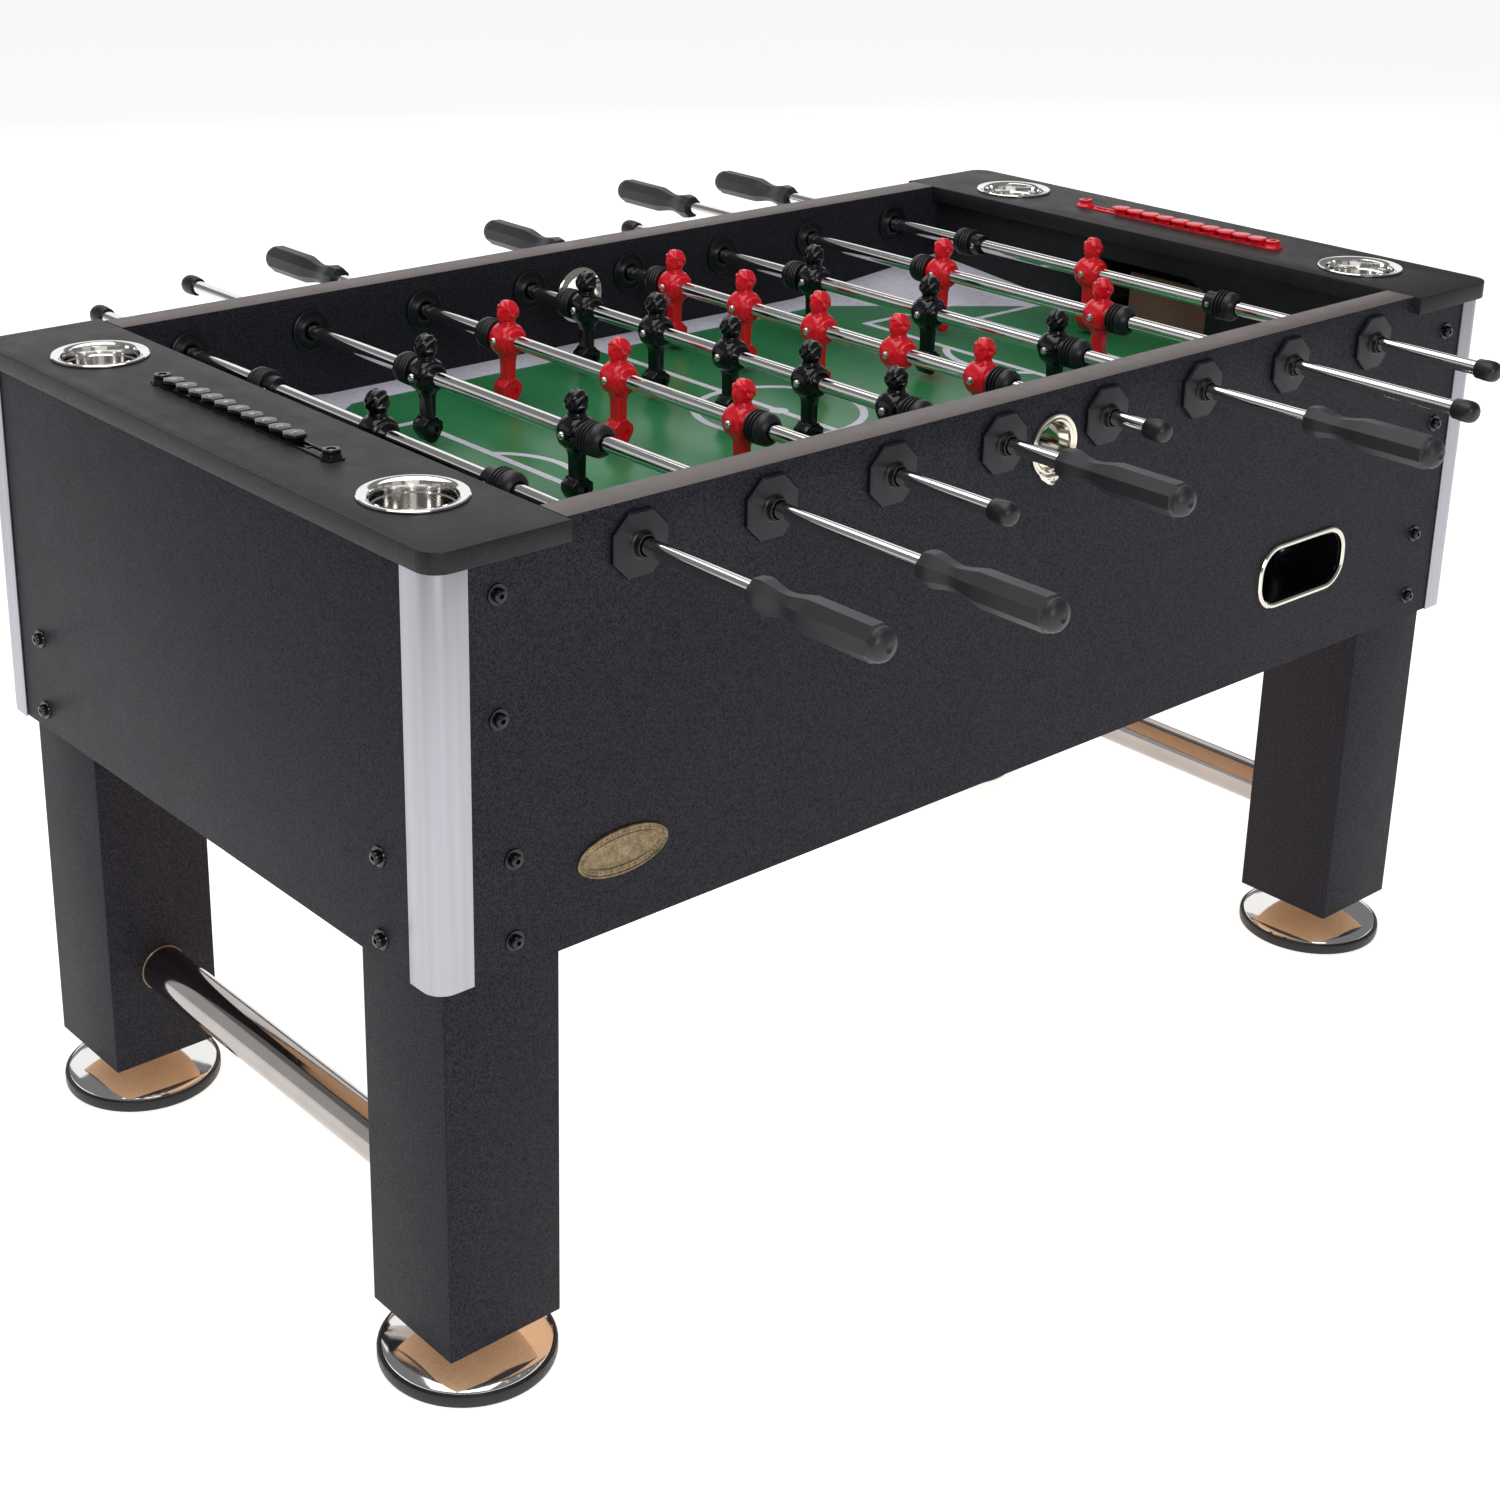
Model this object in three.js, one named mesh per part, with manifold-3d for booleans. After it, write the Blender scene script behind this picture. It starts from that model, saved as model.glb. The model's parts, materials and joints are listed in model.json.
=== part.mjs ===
// A foosball table: cabinet, four legs on adjustable feet, eight player rods and two scorers.
// Millimetres. X runs along the table, Y across it (the front is -Y), Z is up from the floor.
import * as THREE from "three";
import { mergeVertices } from "three/addons/utils/BufferGeometryUtils.js";
import Module from "manifold-3d";

const wasm = await Module();
wasm.setup();

// ---------------------------------------------------------------- driving sizes
const LENGTH = 1510; // over the end caps
const WIDTH = 816; // over the end caps
const HEIGHT = 858; // floor to the top of the caps and rails
const BOARD = 19; // thickness of every cabinet board
const GAP = 0.3; // between pieces that touch
const JOIN = 1; // how deep pieces of one body run into each other

// Cabinet
const CAP_WIDTH = 144;
const CAP_THICKNESS = 20;
const CAP_CORNER_RADIUS = 22;
const SIDE_OVERHANG = 9;
const END_OVERHANG = 4;
const PANEL_BOTTOM = 452;
const LINER_BOTTOM = 700; // the side boards are doubled above this height
const TRIM_WING = 40;
const TRIM_SHEET = 1.5;
const TRIM_RADIUS = 20;
const GOAL_WALL_INSET = 11; // end wall behind the inner edge of the cap
const GOAL_WALL_THICKNESS = 12;

// Playing field and goals
const FIELD_TOP = 740;
const FIELD_THICKNESS = 9;
const GOAL_HALF_WIDTH = 101;
const GOAL_TOP = 812;
const GOAL_CHAMFER = 30;
const GOAL_CHAMFER_DROP = 14;
const MOULDING_WALL = 3;
const CLEAT = 12;

// Ball return: a cup in each side panel, fed by a chute from the goal tray
const RETURN_X = 445;
const RETURN_Z = 568;
const RETURN_WIDTH = 160;
const RETURN_HEIGHT = 76;
const RETURN_RIM = 5;
const RETURN_DEPTH = 78;
const RETURN_CORNER = 33;
const TRAY_FLOOR = 690;
const TRAY_HEIGHT = 38;
const CHUTE_WIDTH = 60;
const CHUTE_HEIGHT = 30;

// Serving cup, at the middle of each side
const SERVE_Z = 800;
const SERVE_BORE = 24.5;

// Legs, feet and stretchers
const LEG = 127;
const LEG_BOTTOM = 52;
const LEG_TOP = 640;
const FOOT_RADIUS = 87;
const FOOT_STEM_RADIUS = 6;
const STRETCHER_Z = 163;
const STRETCHER_RADIUS = 25;

// Cup holders and scorers on the caps
const CAP_CENTRE_X = 680;
const CUP_Y = 277;
const CUP_RADIUS = 42;
const CUP_DEPTH = 62;
const SCORER_HALF_LENGTH = 160;
const SCORER_TRACK = 16;
const SCORER_POST = 20;
const SCORER_TABS = 10;
const TAB_PITCH = 24;
const TAB_HALF_WIDTH = 12;
const TAB_WAIST = 7;
const TAB_TOP = 10;

// Rods, bearings and players
const ROD_PITCH = 152.4;
const ROD_Z = 818;
const ROD_RADIUS = 7.95;
const ROD_SIDES = 8;
const RUNNING_RADIUS = 9; // bore of what the rod turns or slides in
const BEARING_FLATS = 61;
const BEARING_PLATE = 6;
const BEARING_HUB = 14; // how far the hub stands off the panel
const BEARING_INNER_FLANGE = 6;
const BUMPER_RADIUS = 17.5;
const BUMPER_HALF_LENGTH = 14;
const MAN_TO_BUMPER = 32;
const STOP_COLLAR_LENGTH = 16;
const STOP_COLLAR_RADIUS = 13;
const END_SLACK = 2; // from a bumper to its bearing at the end of travel
const HANDLE_LENGTH = 152;
const HANDLE_SLACK = 8;
const ROD_IN_HANDLE = 30;
const ROD_CAP_LENGTH = 26;
const ROD_CAP_RADIUS = 11.5;
const ROD_CAP_SLACK = 7;
const MAN_BOSS_RADIUS = 19;
const MAN_HALF_WIDTH = 17;
const MAN_HALF_DEPTH = 10; // of the head, leg and foot, along the rod
const FOOT_LENGTH = 26;
const FOOT_REACH = 73;
const HEAD_RADIUS = 12.5;
const HEAD_CENTRE = 30;

// Players from the middle of the rod, and where the outer bumpers sit
const LINE_UPS = {
  1: { men: [0], bumper: 212 },
  2: { men: [-127.5, 127.5], bumper: 127.5 + MAN_TO_BUMPER },
  3: { men: [-195, 0, 195], bumper: 195 + MAN_TO_BUMPER },
  5: { men: [-252, -126, 0, 126, 252], bumper: 252 + MAN_TO_BUMPER },
};

// One row for each rod from the left. handle is the side that the handle is on, rest is how far
// the middle of the rod stands from the middle of the table.
const RODS = [
  { men: 1, team: "black", handle: -1, rest: -3 },
  { men: 2, team: "black", handle: -1, rest: 7 },
  { men: 3, team: "red", handle: 1, rest: 3 },
  { men: 5, team: "black", handle: -1, rest: -2 },
  { men: 5, team: "red", handle: 1, rest: 20 },
  { men: 3, team: "black", handle: -1, rest: -5 },
  { men: 2, team: "red", handle: 1, rest: -7 },
  { men: 1, team: "red", handle: 1, rest: 11 },
];

// ---------------------------------------------------------------- derived places
const CAP_BOTTOM = HEIGHT - CAP_THICKNESS;
const CAP_INNER_X = LENGTH / 2 - CAP_WIDTH;
const SIDE_OUTER = WIDTH / 2 - SIDE_OVERHANG;
const SKIN_INNER = SIDE_OUTER - BOARD;
const SIDE_INNER = SKIN_INNER - BOARD;
const END_OUTER = LENGTH / 2 - END_OVERHANG;
const END_INNER = END_OUTER - BOARD;
const GOAL_FACE_X = CAP_INNER_X + GOAL_WALL_INSET;
const GOAL_BACK_X = GOAL_FACE_X + GOAL_WALL_THICKNESS;
const LEG_OUTER_X = END_INNER - GAP;
const LEG_OUTER_Y = SKIN_INNER - GAP;
const LEG_CENTRE_X = LEG_OUTER_X - LEG / 2;
const LEG_CENTRE_Y = LEG_OUTER_Y - LEG / 2;
const LEG_INNER_X = LEG_OUTER_X - LEG;
const LEG_INNER_Y = LEG_OUTER_Y - LEG;
const BEARING_FACE = SIDE_INNER - BEARING_INNER_FLANGE;
const HUB_FACE = SIDE_OUTER + BEARING_HUB;

// ---------------------------------------------------------------- materials
function finish(color, roughness, metalness) {
  return new THREE.MeshStandardMaterial({ color, roughness, metalness });
}
const LAMINATE = finish(0x2b2a2d, 0.75, 0);
const CAP_LAMINATE = finish(0x48443f, 0.6, 0);
const FIELD_GREEN = finish(0x2f7a3d, 0.45, 0);
const MDF = finish(0x9c7a58, 0.85, 0);
const CHROME = finish(0xd8d8d8, 0.12, 1);
const ALUMINIUM = finish(0xc9c9cf, 0.4, 0.9);
const BLACK_PLASTIC = finish(0x16161a, 0.35, 0);
const RED_PLASTIC = finish(0xd2122a, 0.25, 0);
const RUBBER = finish(0x1d1d20, 0.7, 0);

// ---------------------------------------------------------------- solids
// A geometry as a manifold solid. A profile drawn the other way round is turned right side out.
function solidOf(geometry) {
  const bare = new THREE.BufferGeometry();
  const loose = geometry.index ? geometry.toNonIndexed() : geometry;
  bare.setAttribute("position", loose.getAttribute("position"));
  const merged = mergeVertices(bare, 1e-4);
  const triVerts = new Uint32Array(merged.index.array);
  const vertProperties = merged.getAttribute("position").array;
  const made = new wasm.Manifold(new wasm.Mesh({ numProp: 3, vertProperties, triVerts }));
  if (made.volume() >= 0) return made;
  triVerts.reverse();
  return new wasm.Manifold(new wasm.Mesh({ numProp: 3, vertProperties, triVerts }));
}

function geometryOf(solid) {
  const mesh = solid.getMesh();
  const geometry = new THREE.BufferGeometry();
  const positions = new Float32Array(mesh.vertProperties);
  geometry.setAttribute("position", new THREE.BufferAttribute(positions, 3));
  geometry.setIndex(new THREE.BufferAttribute(new Uint32Array(mesh.triVerts), 1));
  const faceted = geometry.toNonIndexed();
  faceted.computeVertexNormals();
  return faceted;
}

function join(...solids) {
  return solids.reduce((all, one) => all.add(one));
}

function cut(solid, ...tools) {
  return tools.reduce((left, tool) => left.subtract(tool), solid);
}

// A box between two values on each axis.
function block([x0, x1], [y0, y1], [z0, z1]) {
  const geometry = new THREE.BoxGeometry(x1 - x0, y1 - y0, z1 - z0);
  geometry.translate((x0 + x1) / 2, (y0 + y1) / 2, (z0 + z1) / 2);
  return solidOf(geometry);
}

// A round or many-sided bar along Y, with a flat side up.
function barY(radius, [y0, y1], sides, x = 0, z = 0) {
  const geometry = new THREE.CylinderGeometry(radius, radius, y1 - y0, sides);
  geometry.rotateY(Math.PI / sides);
  geometry.translate(x, (y0 + y1) / 2, z);
  return solidOf(geometry);
}

// A profile of [radius, height] points turned about Y, or about Z when upright.
function turned(profile, sides, upright = false) {
  const points = profile.map(([radius, height]) => new THREE.Vector2(radius, height));
  const geometry = new THREE.LatheGeometry(points, sides);
  geometry.rotateY(Math.PI / sides);
  if (upright) geometry.rotateX(Math.PI / 2);
  return solidOf(geometry);
}

function closed(profile) {
  return [...profile, profile[0]];
}

function outline(points) {
  return new THREE.Shape(points.map(([a, b]) => new THREE.Vector2(a, b)));
}

function extruded(shape, depth, curveSegments) {
  const settings = { depth, bevelEnabled: false, steps: 1, curveSegments };
  return new THREE.ExtrudeGeometry(shape, settings);
}

// Plates: an outline in one plane, thick along the axis that is left.
function plateXY(shape, [z0, z1], curveSegments = 4) {
  const geometry = extruded(shape, z1 - z0, curveSegments);
  geometry.translate(0, 0, z0);
  return solidOf(geometry);
}

function plateXZ(shape, [y0, y1], curveSegments = 3) {
  const geometry = extruded(shape, y1 - y0, curveSegments);
  geometry.rotateX(Math.PI / 2);
  geometry.translate(0, y1, 0);
  return solidOf(geometry);
}

function plateYZ(shape, [x0, x1], curveSegments = 4) {
  const geometry = extruded(shape, x1 - x0, curveSegments);
  geometry.rotateX(Math.PI / 2);
  geometry.rotateZ(Math.PI / 2);
  geometry.translate(x0, 0, 0);
  return solidOf(geometry);
}

// A rectangle with round corners, about a centre.
function roundedRectangle(width, height, radius, centreX, centreY) {
  const left = centreX - width / 2;
  const right = centreX + width / 2;
  const low = centreY - height / 2;
  const high = centreY + height / 2;
  const shape = new THREE.Shape();
  shape.moveTo(left + radius, low);
  shape.lineTo(right - radius, low);
  shape.absarc(right - radius, low + radius, radius, -Math.PI / 2, 0, false);
  shape.absarc(right - radius, high - radius, radius, 0, Math.PI / 2, false);
  shape.absarc(left + radius, high - radius, radius, Math.PI / 2, Math.PI, false);
  shape.absarc(left + radius, low + radius, radius, Math.PI, 1.5 * Math.PI, false);
  return shape;
}

function halfTurn(solid) {
  return solid.rotate([0, 0, 180]);
}

// ---------------------------------------------------------------- the assembly
const table = new THREE.Group();

function place(name, solid, material) {
  const mesh = new THREE.Mesh(geometryOf(solid), material);
  mesh.name = name;
  table.add(mesh);
}

// ---------------------------------------------------------------- cabinet
function rodX(index) {
  return (index - (RODS.length - 1) / 2) * ROD_PITCH;
}

// A nylon bearing for one rod: eight-sided plate and hub outside, round flange inside.
function bearing(x) {
  const plateRadius = BEARING_FLATS / 2 / Math.cos(Math.PI / 8);
  return join(
    barY(plateRadius, [-SIDE_OUTER - BEARING_PLATE, -SIDE_OUTER + JOIN], 8, x, ROD_Z),
    barY(15, [-HUB_FACE, -SIDE_OUTER], 8, x, ROD_Z),
    barY(24, [-SIDE_INNER - JOIN, -BEARING_FACE], 8, x, ROD_Z),
  );
}

// The front side panel: a full-height skin, a liner above, the rail, a cleat and eight bearings.
function sidePanel() {
  const skinEnd = END_OUTER - TRIM_RADIUS - GAP;
  const skin = block(
    [-skinEnd, skinEnd],
    [-SIDE_OUTER, -SKIN_INNER],
    [PANEL_BOTTOM, CAP_BOTTOM - GAP],
  );
  const liner = block(
    [-skinEnd, skinEnd],
    [-SKIN_INNER - JOIN, -SIDE_INNER],
    [LINER_BOTTOM, CAP_BOTTOM - GAP],
  );
  const railEnd = CAP_INNER_X - GAP;
  const rail = block(
    [-railEnd, railEnd],
    [-SIDE_OUTER, -SIDE_INNER],
    [CAP_BOTTOM - CAP_THICKNESS, HEIGHT],
  );
  const cleat = block(
    [-LEG_INNER_X, LEG_INNER_X],
    [-SIDE_INNER - JOIN, -SIDE_INNER + CLEAT],
    [LINER_BOTTOM, FIELD_TOP - FIELD_THICKNESS - GAP],
  );
  const bearings = RODS.map((_, index) => bearing(rodX(index)));
  const bores = RODS.map((_, index) =>
    barY(RUNNING_RADIUS, [-WIDTH, -BEARING_FACE + JOIN], ROD_SIDES, rodX(index), ROD_Z),
  );
  const serveHole = barY(SERVE_BORE + 3.6, [-WIDTH, -SIDE_INNER + JOIN], 12, 0, SERVE_Z);
  const returnHole = plateXZ(
    roundedRectangle(RETURN_WIDTH - 9, RETURN_HEIGHT - 9, 29, RETURN_X, RETURN_Z),
    [-WIDTH, -SKIN_INNER + JOIN],
  );
  return cut(join(skin, liner, rail, cleat, ...bearings), ...bores, serveHole, returnHole);
}
const frontPanel = sidePanel();
place("side_panel_front", frontPanel, LAMINATE);
place("side_panel_back", halfTurn(frontPanel), LAMINATE);

function endPanel() {
  return block(
    [END_INNER, END_OUTER],
    [-SKIN_INNER + GAP, SKIN_INNER - GAP],
    [PANEL_BOTTOM, CAP_BOTTOM - GAP],
  );
}

// The wall behind the goalkeeper, with the goal mouth and the pocket that drops the ball.
function goalWall() {
  const low = FIELD_TOP + GAP;
  const high = CAP_BOTTOM - GAP;
  const shoulder = GOAL_HALF_WIDTH - GOAL_CHAMFER;
  const chamferLow = GOAL_TOP - GOAL_CHAMFER_DROP;
  const wall = outline([
    [-SIDE_INNER + GAP, low],
    [-GOAL_HALF_WIDTH, low],
    [-GOAL_HALF_WIDTH, chamferLow],
    [-shoulder, GOAL_TOP],
    [shoulder, GOAL_TOP],
    [GOAL_HALF_WIDTH, chamferLow],
    [GOAL_HALF_WIDTH, low],
    [SIDE_INNER - GAP, low],
    [SIDE_INNER - GAP, high],
    [-SIDE_INNER + GAP, high],
  ]);
  const pocketHalf = GOAL_HALF_WIDTH + MOULDING_WALL;
  const pocket = block(
    [GOAL_BACK_X - JOIN, END_INNER - GAP],
    [-pocketHalf, pocketHalf],
    [low, GOAL_TOP + MOULDING_WALL],
  );
  const room = block(
    [GOAL_BACK_X - 2 * JOIN, END_INNER - GAP - MOULDING_WALL],
    [-GOAL_HALF_WIDTH, GOAL_HALF_WIDTH],
    [low - JOIN, GOAL_TOP],
  );
  return join(plateYZ(wall, [GOAL_FACE_X, GOAL_BACK_X]), cut(pocket, room));
}

// The cap over each end: a board with round outer corners, two cup holes and the scorer's slot.
function topCap() {
  const outer = LENGTH / 2;
  const half = WIDTH / 2;
  const shape = new THREE.Shape();
  shape.moveTo(CAP_INNER_X, -half);
  shape.lineTo(outer - CAP_CORNER_RADIUS, -half);
  shape.absarc(
    outer - CAP_CORNER_RADIUS, -half + CAP_CORNER_RADIUS, CAP_CORNER_RADIUS, -Math.PI / 2, 0, false,
  );
  shape.absarc(
    outer - CAP_CORNER_RADIUS, half - CAP_CORNER_RADIUS, CAP_CORNER_RADIUS, 0, Math.PI / 2, false,
  );
  shape.lineTo(CAP_INNER_X, half);
  const slotHalf = SCORER_TRACK / 2 + GAP;
  const slotEnd = SCORER_HALF_LENGTH + GAP;
  const slot = block(
    [CAP_CENTRE_X - slotHalf, CAP_CENTRE_X + slotHalf],
    [-slotEnd, slotEnd],
    [CAP_BOTTOM - JOIN, HEIGHT + JOIN],
  );
  const cupHoles = [-CUP_Y, CUP_Y].map((y) => {
    const geometry = new THREE.CylinderGeometry(CUP_RADIUS + 0.5, CUP_RADIUS + 0.5, 3 * CAP_THICKNESS, 16);
    geometry.rotateY(Math.PI / 16);
    geometry.rotateX(Math.PI / 2);
    geometry.translate(CAP_CENTRE_X, y, HEIGHT);
    return solidOf(geometry);
  });
  return cut(plateXY(shape, [CAP_BOTTOM, HEIGHT]), slot, ...cupHoles);
}

for (const [side, turn] of [["right", (s) => s], ["left", halfTurn]]) {
  place(`end_panel_${side}`, turn(endPanel()), LAMINATE);
  place(`goal_wall_${side}`, turn(goalWall()), BLACK_PLASTIC);
  place(`top_cap_${side}`, turn(topCap()), CAP_LAMINATE);
}

function playfield() {
  return block(
    [-GOAL_BACK_X, GOAL_BACK_X],
    [-SIDE_INNER + GAP, SIDE_INNER - GAP],
    [FIELD_TOP - FIELD_THICKNESS, FIELD_TOP],
  );
}
place("playfield", playfield(), FIELD_GREEN);

// The bottom board, notched round the four legs.
function bottomBoard() {
  const x = END_INNER - GAP;
  const y = SKIN_INNER - GAP;
  const notchX = LEG_INNER_X - GAP;
  const notchY = LEG_INNER_Y - GAP;
  const shape = outline([
    [-x, -notchY], [-notchX, -notchY], [-notchX, -y],
    [notchX, -y], [notchX, -notchY], [x, -notchY],
    [x, notchY], [notchX, notchY], [notchX, y],
    [-notchX, y], [-notchX, notchY], [-x, notchY],
  ]);
  return plateXY(shape, [PANEL_BOTTOM + BOARD, PANEL_BOTTOM + 1.5 * BOARD]);
}
place("bottom_board", bottomBoard(), MDF);

// A corner trim: a rounded corner post with a thin wing over each panel.
function cornerTrim() {
  const faceX = END_OUTER + GAP;
  const faceY = SIDE_OUTER + GAP;
  const outX = faceX + TRIM_SHEET;
  const outY = faceY + TRIM_SHEET;
  const shape = new THREE.Shape();
  shape.moveTo(outX, outY - TRIM_WING);
  shape.absarc(outX - TRIM_RADIUS, outY - TRIM_RADIUS, TRIM_RADIUS, 0, Math.PI / 2, false);
  shape.lineTo(outX - TRIM_WING, outY);
  shape.lineTo(outX - TRIM_WING, faceY);
  shape.lineTo(END_OUTER - TRIM_RADIUS, faceY);
  shape.lineTo(END_OUTER - TRIM_RADIUS, SKIN_INNER + GAP);
  shape.lineTo(faceX, SKIN_INNER + GAP);
  shape.lineTo(faceX, outY - TRIM_WING);
  return plateXY(shape, [PANEL_BOTTOM - 1, CAP_BOTTOM - GAP]);
}

// ---------------------------------------------------------------- legs and feet
function leg() {
  const stemHole = turned(
    [[0, LEG_BOTTOM - JOIN], [FOOT_STEM_RADIUS + 0.8, LEG_BOTTOM - JOIN],
      [FOOT_STEM_RADIUS + 0.8, LEG_BOTTOM + 50], [0, LEG_BOTTOM + 50]],
    8,
    true,
  );
  const half = LEG / 2;
  const post = block([-half, half], [-half, half], [LEG_BOTTOM, LEG_TOP]);
  return cut(post, stemHole).translate([LEG_CENTRE_X, LEG_CENTRE_Y, 0]);
}

// An adjustable foot: a domed disc on a threaded stem.
function foot() {
  const profile = [
    [0, 0], [FOOT_RADIUS - 3, 0], [FOOT_RADIUS, 4], [FOOT_RADIUS - 2, 14], [FOOT_RADIUS - 22, 27],
    [30, 36], [14, 42], [FOOT_STEM_RADIUS, 43], [FOOT_STEM_RADIUS, LEG_BOTTOM + 45],
    [0, LEG_BOTTOM + 45],
  ];
  return turned(profile, 16, true).translate([LEG_CENTRE_X, LEG_CENTRE_Y, 0]);
}

const CORNERS = [
  { name: "front_left", x: -1, y: -1 },
  { name: "front_right", x: 1, y: -1 },
  { name: "back_left", x: -1, y: 1 },
  { name: "back_right", x: 1, y: 1 },
];

// The piece made for the back right corner, mirrored to another corner.
function toCorner(solid, corner) {
  const inX = corner.x < 0 ? solid.mirror([1, 0, 0]) : solid;
  return corner.y < 0 ? inX.mirror([0, 1, 0]) : inX;
}

for (const corner of CORNERS) {
  place(`corner_trim_${corner.name}`, toCorner(cornerTrim(), corner), ALUMINIUM);
  place(`leg_${corner.name}`, toCorner(leg(), corner), LAMINATE);
  place(`foot_${corner.name}`, toCorner(foot(), corner), CHROME);
}

for (const [side, sign] of [["left", -1], ["right", 1]]) {
  const reach = LEG_INNER_Y - GAP;
  const tube = barY(STRETCHER_RADIUS, [-reach, reach], 14, sign * LEG_CENTRE_X, STRETCHER_Z);
  place(`stretcher_${side}`, tube, CHROME);
}

// ---------------------------------------------------------------- ball return and serving cups
// A trough along a straight slope between two points of its floor, open at the top and the ends.
function trough(from, to, outerWidth, outerHeight, bottom, wall) {
  const run = new THREE.Vector3().subVectors(to, from);
  const length = run.length();
  const level = Math.hypot(run.x, run.y);
  const heading = THREE.MathUtils.radToDeg(Math.atan2(run.y, run.x));
  const pitch = THREE.MathUtils.radToDeg(Math.atan2(-run.z, level));
  const half = outerWidth / 2;
  return block([0, length], [-half + wall, half - wall], [bottom, outerHeight])
    .rotate([0, pitch, 0])
    .rotate([0, 0, heading])
    .translate([from.x, from.y, from.z]);
}

// Tray under the right goal, sloping chute, and the cup in the front panel.
function ballReturn() {
  const trayX = [GOAL_BACK_X + 2, END_INNER - 2];
  const trayHalf = GOAL_HALF_WIDTH + MOULDING_WALL;
  const trayTop = TRAY_FLOOR + TRAY_HEIGHT;
  const tray = block(trayX, [-trayHalf, trayHalf], [TRAY_FLOOR, trayTop]);
  const trayRoom = block(
    [trayX[0] + MOULDING_WALL, trayX[1] - MOULDING_WALL],
    [-trayHalf + MOULDING_WALL, trayHalf - MOULDING_WALL],
    [TRAY_FLOOR + MOULDING_WALL, trayTop + JOIN],
  );
  const cupBack = -SIDE_OUTER + RETURN_DEPTH;
  const start = new THREE.Vector3(trayX[0] + 42, -trayHalf + 8, TRAY_FLOOR);
  const end = new THREE.Vector3(RETURN_X + 12, cupBack - 6, RETURN_Z - 24);
  const outside = trough(start, end, CHUTE_WIDTH, CHUTE_HEIGHT, 0, 0);
  const inside = trough(start, end, CHUTE_WIDTH, 3 * CHUTE_HEIGHT, MOULDING_WALL, MOULDING_WALL);
  const bodyWidth = RETURN_WIDTH - 10;
  const bodyHeight = RETURN_HEIGHT - 10;
  const body = plateXZ(
    roundedRectangle(bodyWidth, bodyHeight, RETURN_CORNER - RETURN_RIM, RETURN_X, RETURN_Z),
    [-SIDE_OUTER - JOIN, cupBack],
  );
  const rim = plateXZ(
    roundedRectangle(RETURN_WIDTH, RETURN_HEIGHT, RETURN_CORNER, RETURN_X, RETURN_Z),
    [-SIDE_OUTER - 4, -SIDE_OUTER - GAP],
  );
  const room = plateXZ(
    roundedRectangle(bodyWidth - 6, bodyHeight - 6, RETURN_CORNER - 8, RETURN_X, RETURN_Z),
    [-SIDE_OUTER - 5, cupBack - MOULDING_WALL],
  );
  const lidSlot = block(
    [RETURN_X - 60, RETURN_X + 60],
    [-SKIN_INNER + 15, cupBack - MOULDING_WALL],
    [RETURN_Z, RETURN_Z + bodyHeight],
  );
  return cut(join(tray, body, rim, outside), trayRoom, inside, room, lidSlot);
}

// A serving cup: a dished flange outside, a sleeve through the panel, and a flange inside.
function serveCup() {
  const sleeve = SERVE_BORE + 2.5;
  const panel = 2 * BOARD;
  const profile = closed([
    [SERVE_BORE, -4], [33.5, -2.5], [33.5, -GAP], [sleeve, -GAP],
    [sleeve, panel + GAP], [34, panel + GAP], [34, panel + 3], [SERVE_BORE, panel + 5],
  ]);
  return turned(profile, 12).translate([0, -SIDE_OUTER, SERVE_Z]);
}

for (const [side, turn] of [["front", (s) => s], ["back", halfTurn]]) {
  place(`ball_return_${side}`, turn(ballReturn()), BLACK_PLASTIC);
  place(`serve_cup_${side}`, turn(serveCup()), CHROME);
}

// ---------------------------------------------------------------- cup holders and scorers
function cupHolder() {
  const wall = 2;
  const profile = [
    [0, -CUP_DEPTH], [CUP_RADIUS, -CUP_DEPTH], [CUP_RADIUS, GAP], [49.5, GAP], [49.5, 3],
    [CUP_RADIUS - wall, 3], [CUP_RADIUS - wall, wall - CUP_DEPTH], [0, wall - CUP_DEPTH],
  ];
  return turned(profile, 16, true).translate([CAP_CENTRE_X, CUP_Y, HEIGHT]);
}
for (const corner of CORNERS) {
  place(`cup_holder_${corner.name}`, toCorner(cupHolder(), corner), CHROME);
}

// The six-sided post at an end of the track.
function scorerPost(length, y) {
  const half = length / 2;
  const shape = outline([
    [-TAB_HALF_WIDTH, 0], [-TAB_WAIST, -half], [TAB_WAIST, -half],
    [TAB_HALF_WIDTH, 0], [TAB_WAIST, half], [-TAB_WAIST, half],
  ]);
  return plateXY(shape, [2.5, TAB_TOP]).translate([0, y, 0]);
}

function onCap(solid) {
  return solid.translate([CAP_CENTRE_X, 0, HEIGHT]);
}

function scorerTrack() {
  const half = SCORER_TRACK / 2;
  const postY = SCORER_HALF_LENGTH - SCORER_POST / 2;
  const track = block([-half, half], [-SCORER_HALF_LENGTH, SCORER_HALF_LENGTH], [-8, 2]);
  const posts = [-postY, postY].map((y) => scorerPost(SCORER_POST, y));
  const roots = [-postY, postY].map((y) => block([-6, 6], [y - 8, y + 8], [1, 3.5]));
  return join(track, ...posts, ...roots);
}

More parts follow.
